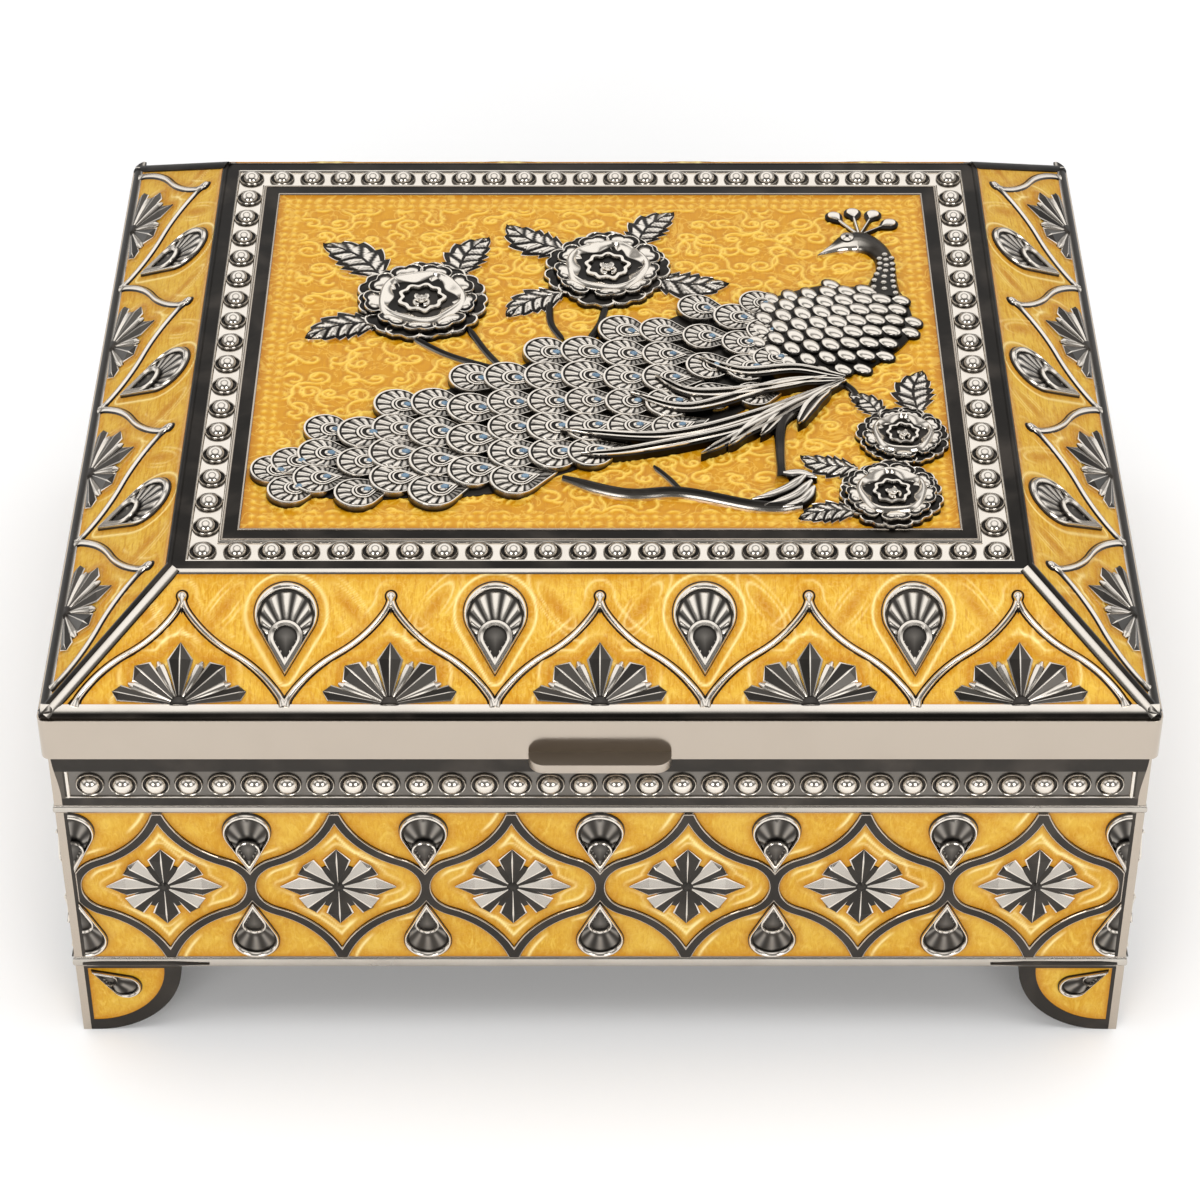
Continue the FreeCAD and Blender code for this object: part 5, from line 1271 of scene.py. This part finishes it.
QUILLS = [
    [(42.1, -8.7), (33.7, -6.4), (24.6, -7.2), (17.1, -3.4)],
    [(41.7, -9.6), (31.3, -10.9), (15.5, -17.6), (5.2, -13.9)],
    [(41.7, -10.1), (26.5, -19.8), (10.9, -25.6), (-6.7, -24.2)],
    [(34.0, -15.5), (23.6, -23.4), (6.5, -29.2), (-3.2, -30.7)],
    [(42.1, -9.6), (28.6, -21.2), (16.9, -30.7)],
    [(39.0, -9.0), (27.0, -12.6), (16.0, -13.6), (9.5, -9.0)],
    [(37.0, -13.5), (31.5, -18.5), (27.0, -25.5)],
    [(34.0, -15.0), (27.0, -21.5), (21.5, -28.5)],
    [(39.5, -12.0), (36.0, -17.0), (33.5, -22.5)],
]
LEG = [(33.5, -15.5), (30.8, -21.3), (30.2, -29.0), (30.2, -36.5)]
CLAWS = [[(34.0, -36.4), (30.4, -39.6), (25.0, -42.4)], [(35.0, -37.8), (32.0, -41.2), (27.0, -44.0)],
         [(35.4, -39.4), (33.4, -42.4), (30.0, -44.4)], [(30.4, -35.8), (33.4, -35.2), (36.0, -36.6)]]
BRANCH = [(-6.2, -36.3), (4.2, -40.1), (13.7, -39.8), (25.7, -43.3), (33.3, -43.4)]
TWIG = [(13.3, -39.0), (11.5, -36.0), (9.0, -32.7)]
STEMS = [[(-33, 4), (-26, -1.5), (-15.5, -6.5)], [(-23, 6.5), (-20, 0), (-17, -5)],
         [(-9, 14), (-8.6, 8), (-6.5, 3)], [(1, 13), (0, 8), (-2, 3)], [(41.5, -9), (43.5, -12), (44, -15.5)]]
# Root and tip of each leaf
LEAVES = [((-39, 22), (-50, 32.5)), ((-25.5, 22.5), (-20, 34.5)), ((-39, 8), (-51.5, 3.5)),
          ((-6, 30), (-17, 38.5)), ((-6.5, 17), (-16.5, 10)), ((6.5, 32), (13.5, 42.5)),
          ((9.5, 21.5), (23, 20)), ((54, -18), (55.6, -6)), ((47.5, -19), (42.5, -12.5)),
          ((43, -33.5), (33.5, -30)), ((42, -45), (32.5, -46.8))]
# Middle and radius of each blossom
BLOSSOMS = [((-31.5, 14.5), 11.8), ((1.3, 24.2), 11.4), ((51, -24.8), 7.8), ((48.2, -40.5), 8.8)]
GROOVE_COLUMNS = np.array([-1.0, -0.9, -0.86, -0.6, -0.3, -0.26, 0.0, 0.26, 0.3, 0.5, 0.7, 0.74, 1.0])


def make_feather():
    """A fan feather, root at the origin and tip upwards, with barbs at its tip and arcs round its eye."""
    outline = teardrop(FEATHER_RADIUS, FEATHER_LONG, 120)
    heart = np.array([0, FEATHER_EYE])
    rays = outline - heart
    angle = np.arctan2(rays[:, 0], rays[:, 1])
    tipward = np.clip(1.9 - np.abs(angle) / 1.1, 0.4, 1)
    barb = np.clip(0.85 + np.cos(angle * 18), 0, 1) * tipward
    crescent = 0.03 * np.cos(angle)
    dark = 0.97 - 0.97 * barb
    return relief(outline, heart, [
        (0, 0.95, 0.0), (0.1, 0.92, 0.0), (0.19, 0.78, 0.0), (0.2, 0.6, 0.97), (0.27 + crescent, 0.6, 0.97),
        (0.28 + crescent, 0.74, 0.0), (0.35, 0.76, 0.0), (0.36, 0.56, 0.97), (0.39, 0.56, 0.97),
        (0.4, 0.68, 0.0), (0.46, 0.68, 0.0), (0.47, 0.5, 0.97), (0.49, 0.5, 0.97),
        (0.51, 0.5 + 0.1 * barb, dark), (0.7, 0.5 + 0.2 * barb, dark), (0.86, 0.48 + 0.14 * barb, dark),
        (0.875, 0.44, 0.97), (0.915, 0.44, 0.97), (0.925, 0.62, 0.0), (0.98, 0.6, 0.0), (1.0, 0.35, 0.6),
        (1.0, -0.7, 1.0)])


def make_panel_relief(name, work, node):
    """A cast piece of the relief, laid on the panel."""
    make_piece(name, seated(work, PANEL_SEAT), "lid", cast_ornament, [node])


def make_train():
    """Fan feathers laid like shingles from the body to the end of the train."""
    upper = smooth_path(TRAIN_UPPER, 201)
    lower = smooth_path(TRAIN_LOWER, 201)

    def at(along, across):
        index = int(np.clip(along, 0, 1) * 200)
        return lower[index] + (upper[index] - lower[index]) * across

    edge = np.vstack([upper, lower[::-1]])[::6]
    work = relief(edge, at(0.5, 0.5), [
        (0, 0.45, 1), (0.5, 0.45, 1), (0.94, 0.4, 1), (0.97, 0.2, 1), (0.97, 0, 1)])
    feather = make_feather()
    eye = relief(circle(0.55, 12, 1.3), (0, 0), [
        (0, 0.25, 0), (0.6, 0.2, 0), (1.0, 0.0, 0.6), (1.0, -0.2, 1.0)])
    eyes = Casting()
    chance = np.random.default_rng(5)
    for station in range(FEATHER_COLUMNS):
        along = (station + 0.35) / FEATHER_COLUMNS
        wide = np.hypot(*(at(along, 1) - at(along, 0)))
        count = max(1, round(wide / FEATHER_PITCH))
        for k in range(count):
            across = (k + 0.5 + 0.25 * (-1) ** station) / count
            angle = math.radians(205 - 42 * across + chance.uniform(-5, 5))
            size = np.interp(along, [0, 0.2, 0.7, 1.0], [0.82, 0.97, 1.04, 0.9])
            size *= chance.uniform(0.95, 1.06)
            heading = np.array([math.cos(angle), math.sin(angle)])
            root = at(along, across) - heading * FEATHER_LONG * size * 0.5
            seat = spot(*root, angle - QUARTER, 0.1, FEATHER_TILT) @ stretched(size)
            work.place(feather, seat)
            eyes.place(eye, PANEL_SEAT @ seat @ spot(0, FEATHER_EYE, 0, 0.9))
    make_panel_relief("train_feathers", work, "bird_train")
    make_piece("feather_eyes", eyes, "lid", eye_enamel, extra={"crest": np.zeros(eyes.count)})


def share_of(points, outline, heart):
    """How far points lie from a heart towards an outline, as a share."""
    rays = outline - heart
    bearings = np.arctan2(rays[:, 1], rays[:, 0])
    gaps = points - heart
    reach = np.interp(np.arctan2(gaps[:, 1], gaps[:, 0]), bearings, np.hypot(*rays.T), period=2 * math.pi)
    return np.hypot(*gaps.T) / reach


def make_body():
    """Body with rows of oval scales, smooth neck and head, beak, eye and crest."""
    outline = smooth_loop(BODY_EDGE, 72)
    heart = np.array(BODY_HEART)
    work = relief(outline, heart, [*((share, high, 1.0) for share, high in BODY_CROWN), (1.0, 0.0, 1.0)])
    scale = relief(circle(2.35, 28, 0.68), (0.2, -0.15), [
        (0, 0.62, 0.0), (0.4, 0.56, 0.0), (0.7, 0.4, 0.0), (0.8, 0.28, 0.05), (0.83, 0.18, 0.97),
        (1.0, 0.1, 1.0), (1.0, -0.4, 1.0)])
    grid = np.array([(i + 0.5 * (k % 2), k) for i in range(-9, 10) for k in range(-9, 10)])
    places = heart + turned(grid * SCALE_PITCH, SCALE_AXIS)
    shares = share_of(places, outline, heart)
    lifts = np.interp(shares, *zip(*BODY_CROWN))
    for place, share, lift in zip(places, shares, lifts):
        if share < 1.0:
            size = 1.06 - 0.16 * share
            lean = SCALE_AXIS + 0.25 * math.sin(0.2 * (place[0] - heart[0]))
            work.place(scale, spot(*place, lean, lift) @ stretched(size))
    path = smooth_path(NECK, 44)
    along = np.linspace(0, 1, 44)
    knots = np.linspace(0, 1, len(NECK))
    half = np.interp(along, knots, NECK_HALF)
    high = np.interp(along, knots, NECK_HIGH)
    tint = np.interp(along, [0, 0.76, 0.84, 1], [0.86, 0.86, 0.3, 0.0])[:, None]
    tint = tint + np.abs(ROUND_COLUMNS) * 0.1
    # One side of the neck and head is made bright: a white cheek on the head, and a painted highlight along
    # the neck below it.
    cheek_and_highlight = np.interp(along, [0.4, 0.55, 0.7, 1.0], [0.0, 0.5, 1.0, 1.0])[:, None]
    tint = tint * (1 - cheek_and_highlight * (ROUND_COLUMNS > 0.4))
    ribbon(work, path, half, ROUND_COLUMNS, high[:, None] * (0.25 + 0.75 * ROUND_HEIGHT), tint)
    dot = relief(circle(0.62, 14, 0.8), (0, 0), [
        (0, 0.4, 0.0), (0.6, 0.3, 0.05), (1.0, 0.0, 0.8), (1.0, -0.3, 1.0)])
    for index in range(1, 15, 2):
        for column in (-0.62, 0.0, 0.62):
            row = index + (1 if column == 0 else 0)
            tangent = path[row + 1] - path[row - 1]
            normal = np.array([-tangent[1], tangent[0]]) / np.hypot(*tangent)
            lift = high[row] * (0.25 + 0.75 * math.sqrt(1 - column ** 2))
            work.place(dot, spot(*(path[row] + normal * half[row] * column), 0, lift))
    mound(work, circle(1.3, 24, 1.15) + EYE_PATCH, EYE_PATCH, [
        (0, 2.0, 0.9), (0.25, 1.98, 0.95), (0.3, 1.95, 0.0), (0.85, 1.85, 0.0), (0.92, 1.75, 0.95),
        (1.0, 1.6, 1.0), (1.0, 0.8, 1.0)])
    for tip in CREST_TIPS:
        pin = np.linspace(CREST_ROOT, tip, 8)
        ribbon(work, pin, 0.34, ROUND_COLUMNS, 0.3 + 0.5 * ROUND_HEIGHT, [1, 1, 0.9, 0.1, 0.0, 0.1, 1])
        heading = pin[-1] - pin[0]
        bud = relief(teardrop(1.6, 4.3, 24), (0, 2.7), [
            (0, 1.0, 0), (0.4, 0.98, 0), (0.66, 0.9, 0.0), (0.7, 0.7, 1.0), (1.0, 0.5, 1.0), (1.0, 0, 1)])
        work.place(bud, spot(*(pin[-1] - heading * 0.2), math.atan2(heading[1], heading[0]) - QUARTER))
    make_panel_relief("scaled_body", work, "bird_body")


def make_quills():
    """Long wing quills with a dark groove along their middle."""
    work = Casting()
    profile = np.array([0.7, 0.78, 0.95, 1.0, 0.95, 0.8, 0.78, 0.8, 0.9, 0.95, 0.9, 0.75, 0.7])
    tint = np.array([0.97, 0.95, 0.0, 0.0, 0.0, 0.95, 0.97, 0.95, 0.0, 0.0, 0.0, 0.95, 0.97])
    for index, points in enumerate(QUILLS):
        path = smooth_path(points, 28)
        along = np.linspace(0, 1, 28)
        half = np.interp(along, [0, 0.15, 0.55, 0.9, 1], [0.35, 0.95, 1.35, 0.8, 0.05])
        crown = np.interp(along, [0, 0.3, 1], [1.6, 1.95, 1.85])[:, None] + 0.12 * (index % 3)
        ribbon(work, path, half, GROOVE_COLUMNS, crown * profile, tint)
    make_panel_relief("wing_quill_relief", work, "bird_quills")


def make_leg():
    wide = np.interp(np.linspace(0, 1, 24), [0, 0.35, 0.9, 1], [2.2, 1.15, 0.95, 1.2])
    work = bar(smooth_path(LEG, 24), wide, ROUND_COLUMNS, 0.4 + 1.4 * ROUND_HEIGHT,
               [0.1, 0.5, 0.95, 0.95, 0.95, 0.4, 0.0])
    wide = np.interp(np.linspace(0, 1, 14), [0, 0.2, 0.7, 1], [0.5, 1.15, 0.95, 0.2])
    height = np.linspace(1.9, 1.5, 14)[:, None] * (0.3 + 0.7 * ROUND_HEIGHT)
    for points in CLAWS:
        ribbon(work, smooth_path(points, 14), wide, ROUND_COLUMNS, height, [1, 0.9, 0.1, 0, 0.1, 0.9, 1])
    make_panel_relief("leg_and_claws", work, "bird_leg")


def make_foliage():
    """Serrated leaves, bright between dark veins and edges with a painted highlight along the very edge, dark
    stems and the branch.
    """
    work = Casting()
    along = np.linspace(0, 1, 61)
    flank = np.array([0.05, 0.08, 0.2, 0.35, 0.5, 0.62, 0.68, 0.72, 0.93, 0.96, 1.0])
    columns = np.concatenate([-flank[::-1], flank])
    off_rib = np.abs(columns)[None, :]
    rows = along[:, None]
    blade = np.clip(1.3 * np.cos(2 * math.pi * (5.5 * rows - 1.3 * off_rib)) + 0.7, 0, 1)
    # The thin bright rim at the very edge of each leaf is a painted highlight.
    lit = blade * (off_rib > 0.06) * (off_rib < 0.7) * (rows < 0.93) + 0.9 * (off_rib > 0.95)
    plain = np.sin(math.pi * along ** 0.85) ** 0.8
    teeth = 1 - 0.28 * ((along * 5.5) % 1.0)
    for index, (root, tip) in enumerate(LEAVES):
        root, tip = np.array(root), np.array(tip)
        span = tip - root
        bend = np.array([-span[1], span[0]]) * (0.1 if index % 2 else -0.1)
        path = smooth_path([root, (root + tip) / 2 + bend, tip], 61)
        half = 0.33 * np.hypot(*span) * plain * teeth[::-1]
        ribbon(work, path, half, columns, 0.45 + 0.45 * (1 - off_rib) + 0.16 * lit, 0.97 - 0.97 * lit)
    bar_tint = np.array([0.0, 0.6, 0.97, 0.97, 0.97, 0.97, 0.7])
    taper = np.interp(np.linspace(0, 1, 30), [0, 0.1, 0.9, 1], [0.5, 1, 1, 0.6])
    for points, wide in [(stem, 0.75) for stem in STEMS] + [(TWIG, 0.6), (BRANCH, 1.25)]:
        points = points if points[0][0] < points[-1][0] else points[::-1]
        ribbon(work, smooth_path(points, 30), taper * wide, ROUND_COLUMNS, 0.25 + wide * ROUND_HEIGHT,
               bar_tint)
    make_panel_relief("leaf_and_branch_relief", work, "leaves_and_branch")


def petal_outline(long, half):
    right = np.array([(0.12, 0.0), (0.62, 0.35), (1.0, 0.68), (0.85, 0.9), (0.4, 1.0)])
    return smooth_loop(np.vstack([right, [(0.0, 0.93)], right[::-1] * [-1, 1]]) * [half, long], 30)


# Rings of petals: how many, start and end as shares of the radius, half width, lift, tilt in degrees,
# and the rings of (share, height, shade) of one petal
PETAL_RINGS = [
    (11, 0.45, 1.0, 0.29, 0.2, 3,
     [(0, 0.62, 0.97), (0.5, 0.6, 0.97), (0.83, 0.5, 0.97), (0.87, 0.68, 0.0), (0.95, 0.64, 0.0)]),
    (9, 0.38, 0.87, 0.27, 0.55, 8,
     [(0, 0.8, 0.0), (0.4, 0.76, 0.0), (0.6, 0.66, 0.1), (0.66, 0.5, 0.97), (0.88, 0.45, 0.97),
      (0.91, 0.58, 0.1), (0.97, 0.55, 0.1)]),
]
HEART = [(0, -1.0), (0.85, 0.0), (0.7, 0.75), (0, 0.4), (-0.7, 0.75), (-0.85, 0.0)]


def blossom_cup(radius):
    """Bowl of a blossom: a broad bright rim, dark inner petals, a scalloped ring, curls and a heart."""
    outline = circle(radius, 90)
    angle = np.arctan2(outline[:, 1], outline[:, 0])
    lobes = np.cos(5 * angle + 0.4)
    scallops = 0.035 * np.cos(9 * angle)
    cup = relief(outline * (1 + 0.03 * lobes)[:, None], (0, 0), [
        (0, 0.5, 0.97), (0.4 + scallops, 0.45, 1.0), (0.42 + scallops, 1.0, 0.0),
        (0.5 + scallops, 0.95, 0.0), (0.52 + scallops, 0.5, 1.0), (0.7 + 0.08 * lobes, 0.6, 1.0),
        (0.73 + 0.08 * lobes, 0.85, 0.05), (0.84, 1.4, 0.0), (0.88, 1.5, 0.0), (0.93, 1.35, 0.0),
        (0.98, 0.8, 0.2), (1.0, 0.6, 1.0), (1.0, 0.0, 1.0)])
    mound(cup, smooth_loop(HEART, 30) * radius * 0.2, (0, 0), [
        (0, 0.95, 0.5), (0.65, 0.92, 0.5), (0.72, 1.0, 0.0), (0.92, 0.9, 0.0), (1.0, 0.6, 1.0),
        (1.0, 0.3, 1.0)])
    for sign in (1, -1):
        start = np.array([sign * 0.05, -0.27]) * radius
        curl = arc_points(start, QUARTER - sign * QUARTER, radius * 0.11, sign * 4.2, 18)
        wide = radius * np.linspace(0.055, 0.03, 18)
        ribbon(cup, curl, wide, ROUND_COLUMNS, 0.5 + 0.6 * ROUND_HEIGHT, 0.0)
    return cup


def make_blossoms():
    """Open blossoms: two rings of petals round a cup."""
    work = Casting()
    chance = np.random.default_rng(11)
    for index, (place, radius) in enumerate(BLOSSOMS):
        flower = relief(circle(radius * 0.72, 40), (0, 0), [
            (0, 1.0, 1), (0.4, 1.0, 1), (0.9, 0.5, 1), (1, 0.2, 1), (1, 0, 1)])
        for level, (count, start, end, half, lift, tilt, rings) in enumerate(PETAL_RINGS):
            long = (end - start) * radius
            petal = relief(petal_outline(long, half * radius), (0, long * 0.6), [
                *rings, (1.0, 0.2, 0.9), (1.0, -0.4, 1.0)])
            for k in range(count):
                share = k + 0.5 * (level % 2) + chance.uniform(-0.12, 0.12)
                angle = 2 * math.pi * share / count + 0.7 * index
                size = chance.uniform(0.92, 1.06)
                root = turned(np.array([[0, start * radius]]), angle)[0]
                seat = spot(*root, angle, lift + 0.05 * (k % 2), math.radians(tilt))
                flower.place(petal, seat @ stretched(size))
        flower.place(blossom_cup(radius * 0.68), spot(0, 0, 0.15 * index, 0.75))
        work.place(flower, spot(*place))
    make_panel_relief("blossom_relief", work, "blossoms")


# Padded linings

def make_lining(node, body, facing):
    """A crowned pad within the space of a lining; facing is the axis and the sign of its soft face."""
    low, high = corners(node)
    axis, sign = facing
    others = [k for k in range(3) if k != axis]
    if axis == 1:
        others = others[::-1]
    spans = [high[k] - low[k] for k in others]
    counts = [max(12, int(span / 3.0)) for span in spans]
    a, b = np.meshgrid(np.linspace(-1, 1, counts[0]), np.linspace(-1, 1, counts[1]), indexing="ij")
    thick = high[axis] - low[axis]
    ease = (1 - a ** 8) * (1 - b ** 8)
    pucker = 0.05 * np.sin(a * spans[0] * 0.5) * (np.abs(b) ** 6)
    pucker += 0.05 * np.sin(b * spans[1] * 0.5) * (np.abs(a) ** 6)
    depth = thick * np.clip(0.45 + 0.53 * ease ** 0.6 + pucker, 0.3, 1.0)
    pull_a = 1 - 0.006 * (1 - b ** 2) * np.abs(a) ** 4
    pull_b = 1 - 0.006 * (1 - a ** 2) * np.abs(b) ** 4
    middle = [(high[k] + low[k]) / 2 for k in others]
    flat = np.dstack([middle[0] + a * spans[0] / 2 * pull_a, middle[1] + b * spans[1] / 2 * pull_b])
    base = low[axis] if sign > 0 else high[axis]

    def sheet(level):
        points = np.zeros((a.size, 3))
        points[:, others[0]] = flat[..., 0].reshape(-1)
        points[:, others[1]] = flat[..., 1].reshape(-1)
        points[:, axis] = base + sign * level.reshape(-1)
        return points

    tall, wide = counts
    faces = []
    start = a.size
    for i in range(tall - 1):
        for k in range(wide - 1):
            near = i * wide + k
            faces.append([near, near + wide, near + wide + 1, near + 1])
            faces.append([start + near, start + near + 1, start + near + wide + 1, start + near + wide])
    rim = grid_rim(tall, wide)
    for k in range(len(rim)):
        after = (k + 1) % len(rim)
        faces.append([rim[k], rim[after], start + rim[after], start + rim[k]])
    if sign < 0:
        faces = [face[::-1] for face in faces]
    pad = Casting()
    pad.add(np.vstack([sheet(depth), sheet(np.zeros_like(depth))]), np.zeros(2 * a.size), faces)
    piece = make_piece(f"padded_{node}", pad, body, burgundy_velvet, [node], sharp=60)


def make_linings():
    for node, body, facing in (("front_lining", "box", (1, 1)), ("rear_lining", "box", (1, -1)),
                               ("left_lining", "box", (0, 1)), ("right_lining", "box", (0, -1)),
                               ("bottom_pad", "box", (2, 1)), ("lid_lining", "lid", (2, -1))):
        make_lining(node, body, facing)


# Finishes of the CAD nodes that stay in view

def dress_nodes():
    finishes = {"lid_shell": lid_metal, "bottom_plate": base_metal, "corner_gussets": bright_plating,
                "bottom_screws": screw_steel, "thumb_tab": tab_plating}
    rounds = {"lid_shell": 0.3, "thumb_tab": 0.35}
    for side in SIDES:
        finishes[f"{side}_wall"] = front_wall_metal if side in ACROSS else side_wall_metal
        finishes[f"{side}_lattice"] = strap_metal
        rounds[f"{side}_lattice"] = 0.2
    for hand in ("left", "right"):
        finishes[f"{hand}_hinge_pin"] = screw_steel
        for piece in ("body", "lid"):
            finishes[f"{hand}_{piece}_knuckle"] = bright_plating
            rounds[f"{hand}_{piece}_knuckle"] = 0.2
    for name, finish in finishes.items():
        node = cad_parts[name]
        node.data.materials.clear()
        node.data.materials.append(finish)
    for name, radius in rounds.items():
        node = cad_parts[name]
        weld = node.modifiers.new("weld", "WELD")
        weld.merge_threshold = 0.00001
        edge = node.modifiers.new("edge", "BEVEL")
        edge.width = radius * MM
        edge.segments = 3
        edge.limit_method = "ANGLE"
        edge.angle_limit = math.radians(50)
        if name.endswith("lattice"):
            node.data.materials.append(bright_plating)
            edge.material = 1


# Floor, light and camera

FLOOR_REACH = 4.0


def make_floor():
    mesh = bpy.data.meshes.new("floor")
    edge = [(x * FLOOR_REACH, y * FLOOR_REACH, 0) for x, y in ((-1, -1), (1, -1), (1, 1), (-1, 1))]
    mesh.from_pydata(edge, [], [(0, 1, 2, 3)])
    floor = bpy.data.objects.new("floor", mesh)
    bpy.context.collection.objects.link(floor)
    finish, wires, shader = new_finish("pale_floor")
    tone = wires.ramp(wires.noise(6.0, 2.0), 0.0, 1.0, 0.9, 0.93)
    grey = wires.put("ShaderNodeCombineColor", Red=tone, Green=tone, Blue=tone)
    wires.feed(shader, "Base Color", grey.outputs[0])
    wires.feed(shader, "Roughness", 0.7)
    mesh.materials.append(finish)


def make_light(name, place, aim, wide, deep, power, seen=False):
    """A soft oblong light; unless seen, it doesn't show in the metal."""
    lamp = bpy.data.lights.new(name, "AREA")
    lamp.shape = "RECTANGLE"
    lamp.size, lamp.size_y = wide, deep
    lamp.energy = power
    light = bpy.data.objects.new(name, lamp)
    light.location = place
    light.rotation_euler = (Vector(aim) - Vector(place)).to_track_quat("-Z", "Y").to_euler()
    light.visible_glossy = seen
    bpy.context.collection.objects.link(light)


SKY_BEHIND_CAMERA = (0.12, 0.117, 0.113, 1)
DIM_SKY = (0.26, 0.255, 0.25, 1)
BRIGHT_SKY = (1.0, 1.0, 1.0, 1)


def make_world():
    """A studio with a dim horizon, a bright belt, a bright zenith and a dark side behind the camera."""
    world = bpy.data.worlds.new("studio")
    world.use_nodes = True
    bpy.context.scene.world = world
    wires = Wiring(world.node_tree)
    way = wires.put("ShaderNodeTexCoord").outputs["Generated"]
    parts = wires.put("ShaderNodeSeparateXYZ", Vector=way)
    height = parts.outputs["Z"]
    belt = wires.maths("MULTIPLY", wires.ramp(height, 0.2, 0.42), wires.ramp(height, 0.7, 0.78, 1.0, 0.0))
    zenith = wires.ramp(height, 0.83, 0.9)
    away = wires.ramp(parts.outputs["Y"], -0.5, -0.2)
    dim = wires.mix(away, SKY_BEHIND_CAMERA, DIM_SKY)
    lit = wires.maths("MAXIMUM", wires.maths("MULTIPLY", belt, away), zenith)
    sky = world.node_tree.nodes["Background"]
    wires.feed(sky, "Color", wires.mix(lit, dim, BRIGHT_SKY))
    wires.feed(sky, "Strength", 1.2)


CAMERA_PLACE = (0.0, -0.50909, 0.45849)
CAMERA_PITCH = 40.072
CAMERA_LENS = 108.585
CAMERA_SENSOR = 36


def make_camera():
    lens = bpy.data.cameras.new("camera")
    lens.sensor_width = CAMERA_SENSOR
    lens.lens = CAMERA_LENS
    camera = bpy.data.objects.new("camera", lens)
    camera.location = CAMERA_PLACE
    camera.rotation_euler = (math.radians(90 - CAMERA_PITCH), 0, 0)
    bpy.context.collection.objects.link(camera)
    bpy.context.scene.camera = camera


make_camera()
make_floor()
make_world()
make_light("ceiling_light", (0.0, -0.1, 1.2), (0, 0, 0.05), 0.9, 0.9, 5)
make_light("front_fill", (0.0, -1.2, 0.75), (0, 0, 0.04), 0.9, 0.6, 5)
for hand, name in ((-1, "left_softbox"), (1, "right_softbox")):
    make_light(name, (hand * 0.5, -0.95, 0.5), (0, 0, 0.05), 0.42, 0.42, 2.4, True)
bpy.context.scene.view_settings.view_transform = "Standard"

dress_nodes()
for side in SIDES:
    make_wall_field(side)
    make_slope_field(side)
    make_slope_frame(side)
make_wall_drops()
make_rosettes()
make_bead_strips()
make_lid_bead_frame()
make_mouldings()
make_slope_ornament()
make_feet()
make_panel()
make_train()
make_body()
make_quills()
make_leg()
make_foliage()
make_blossoms()
make_linings()
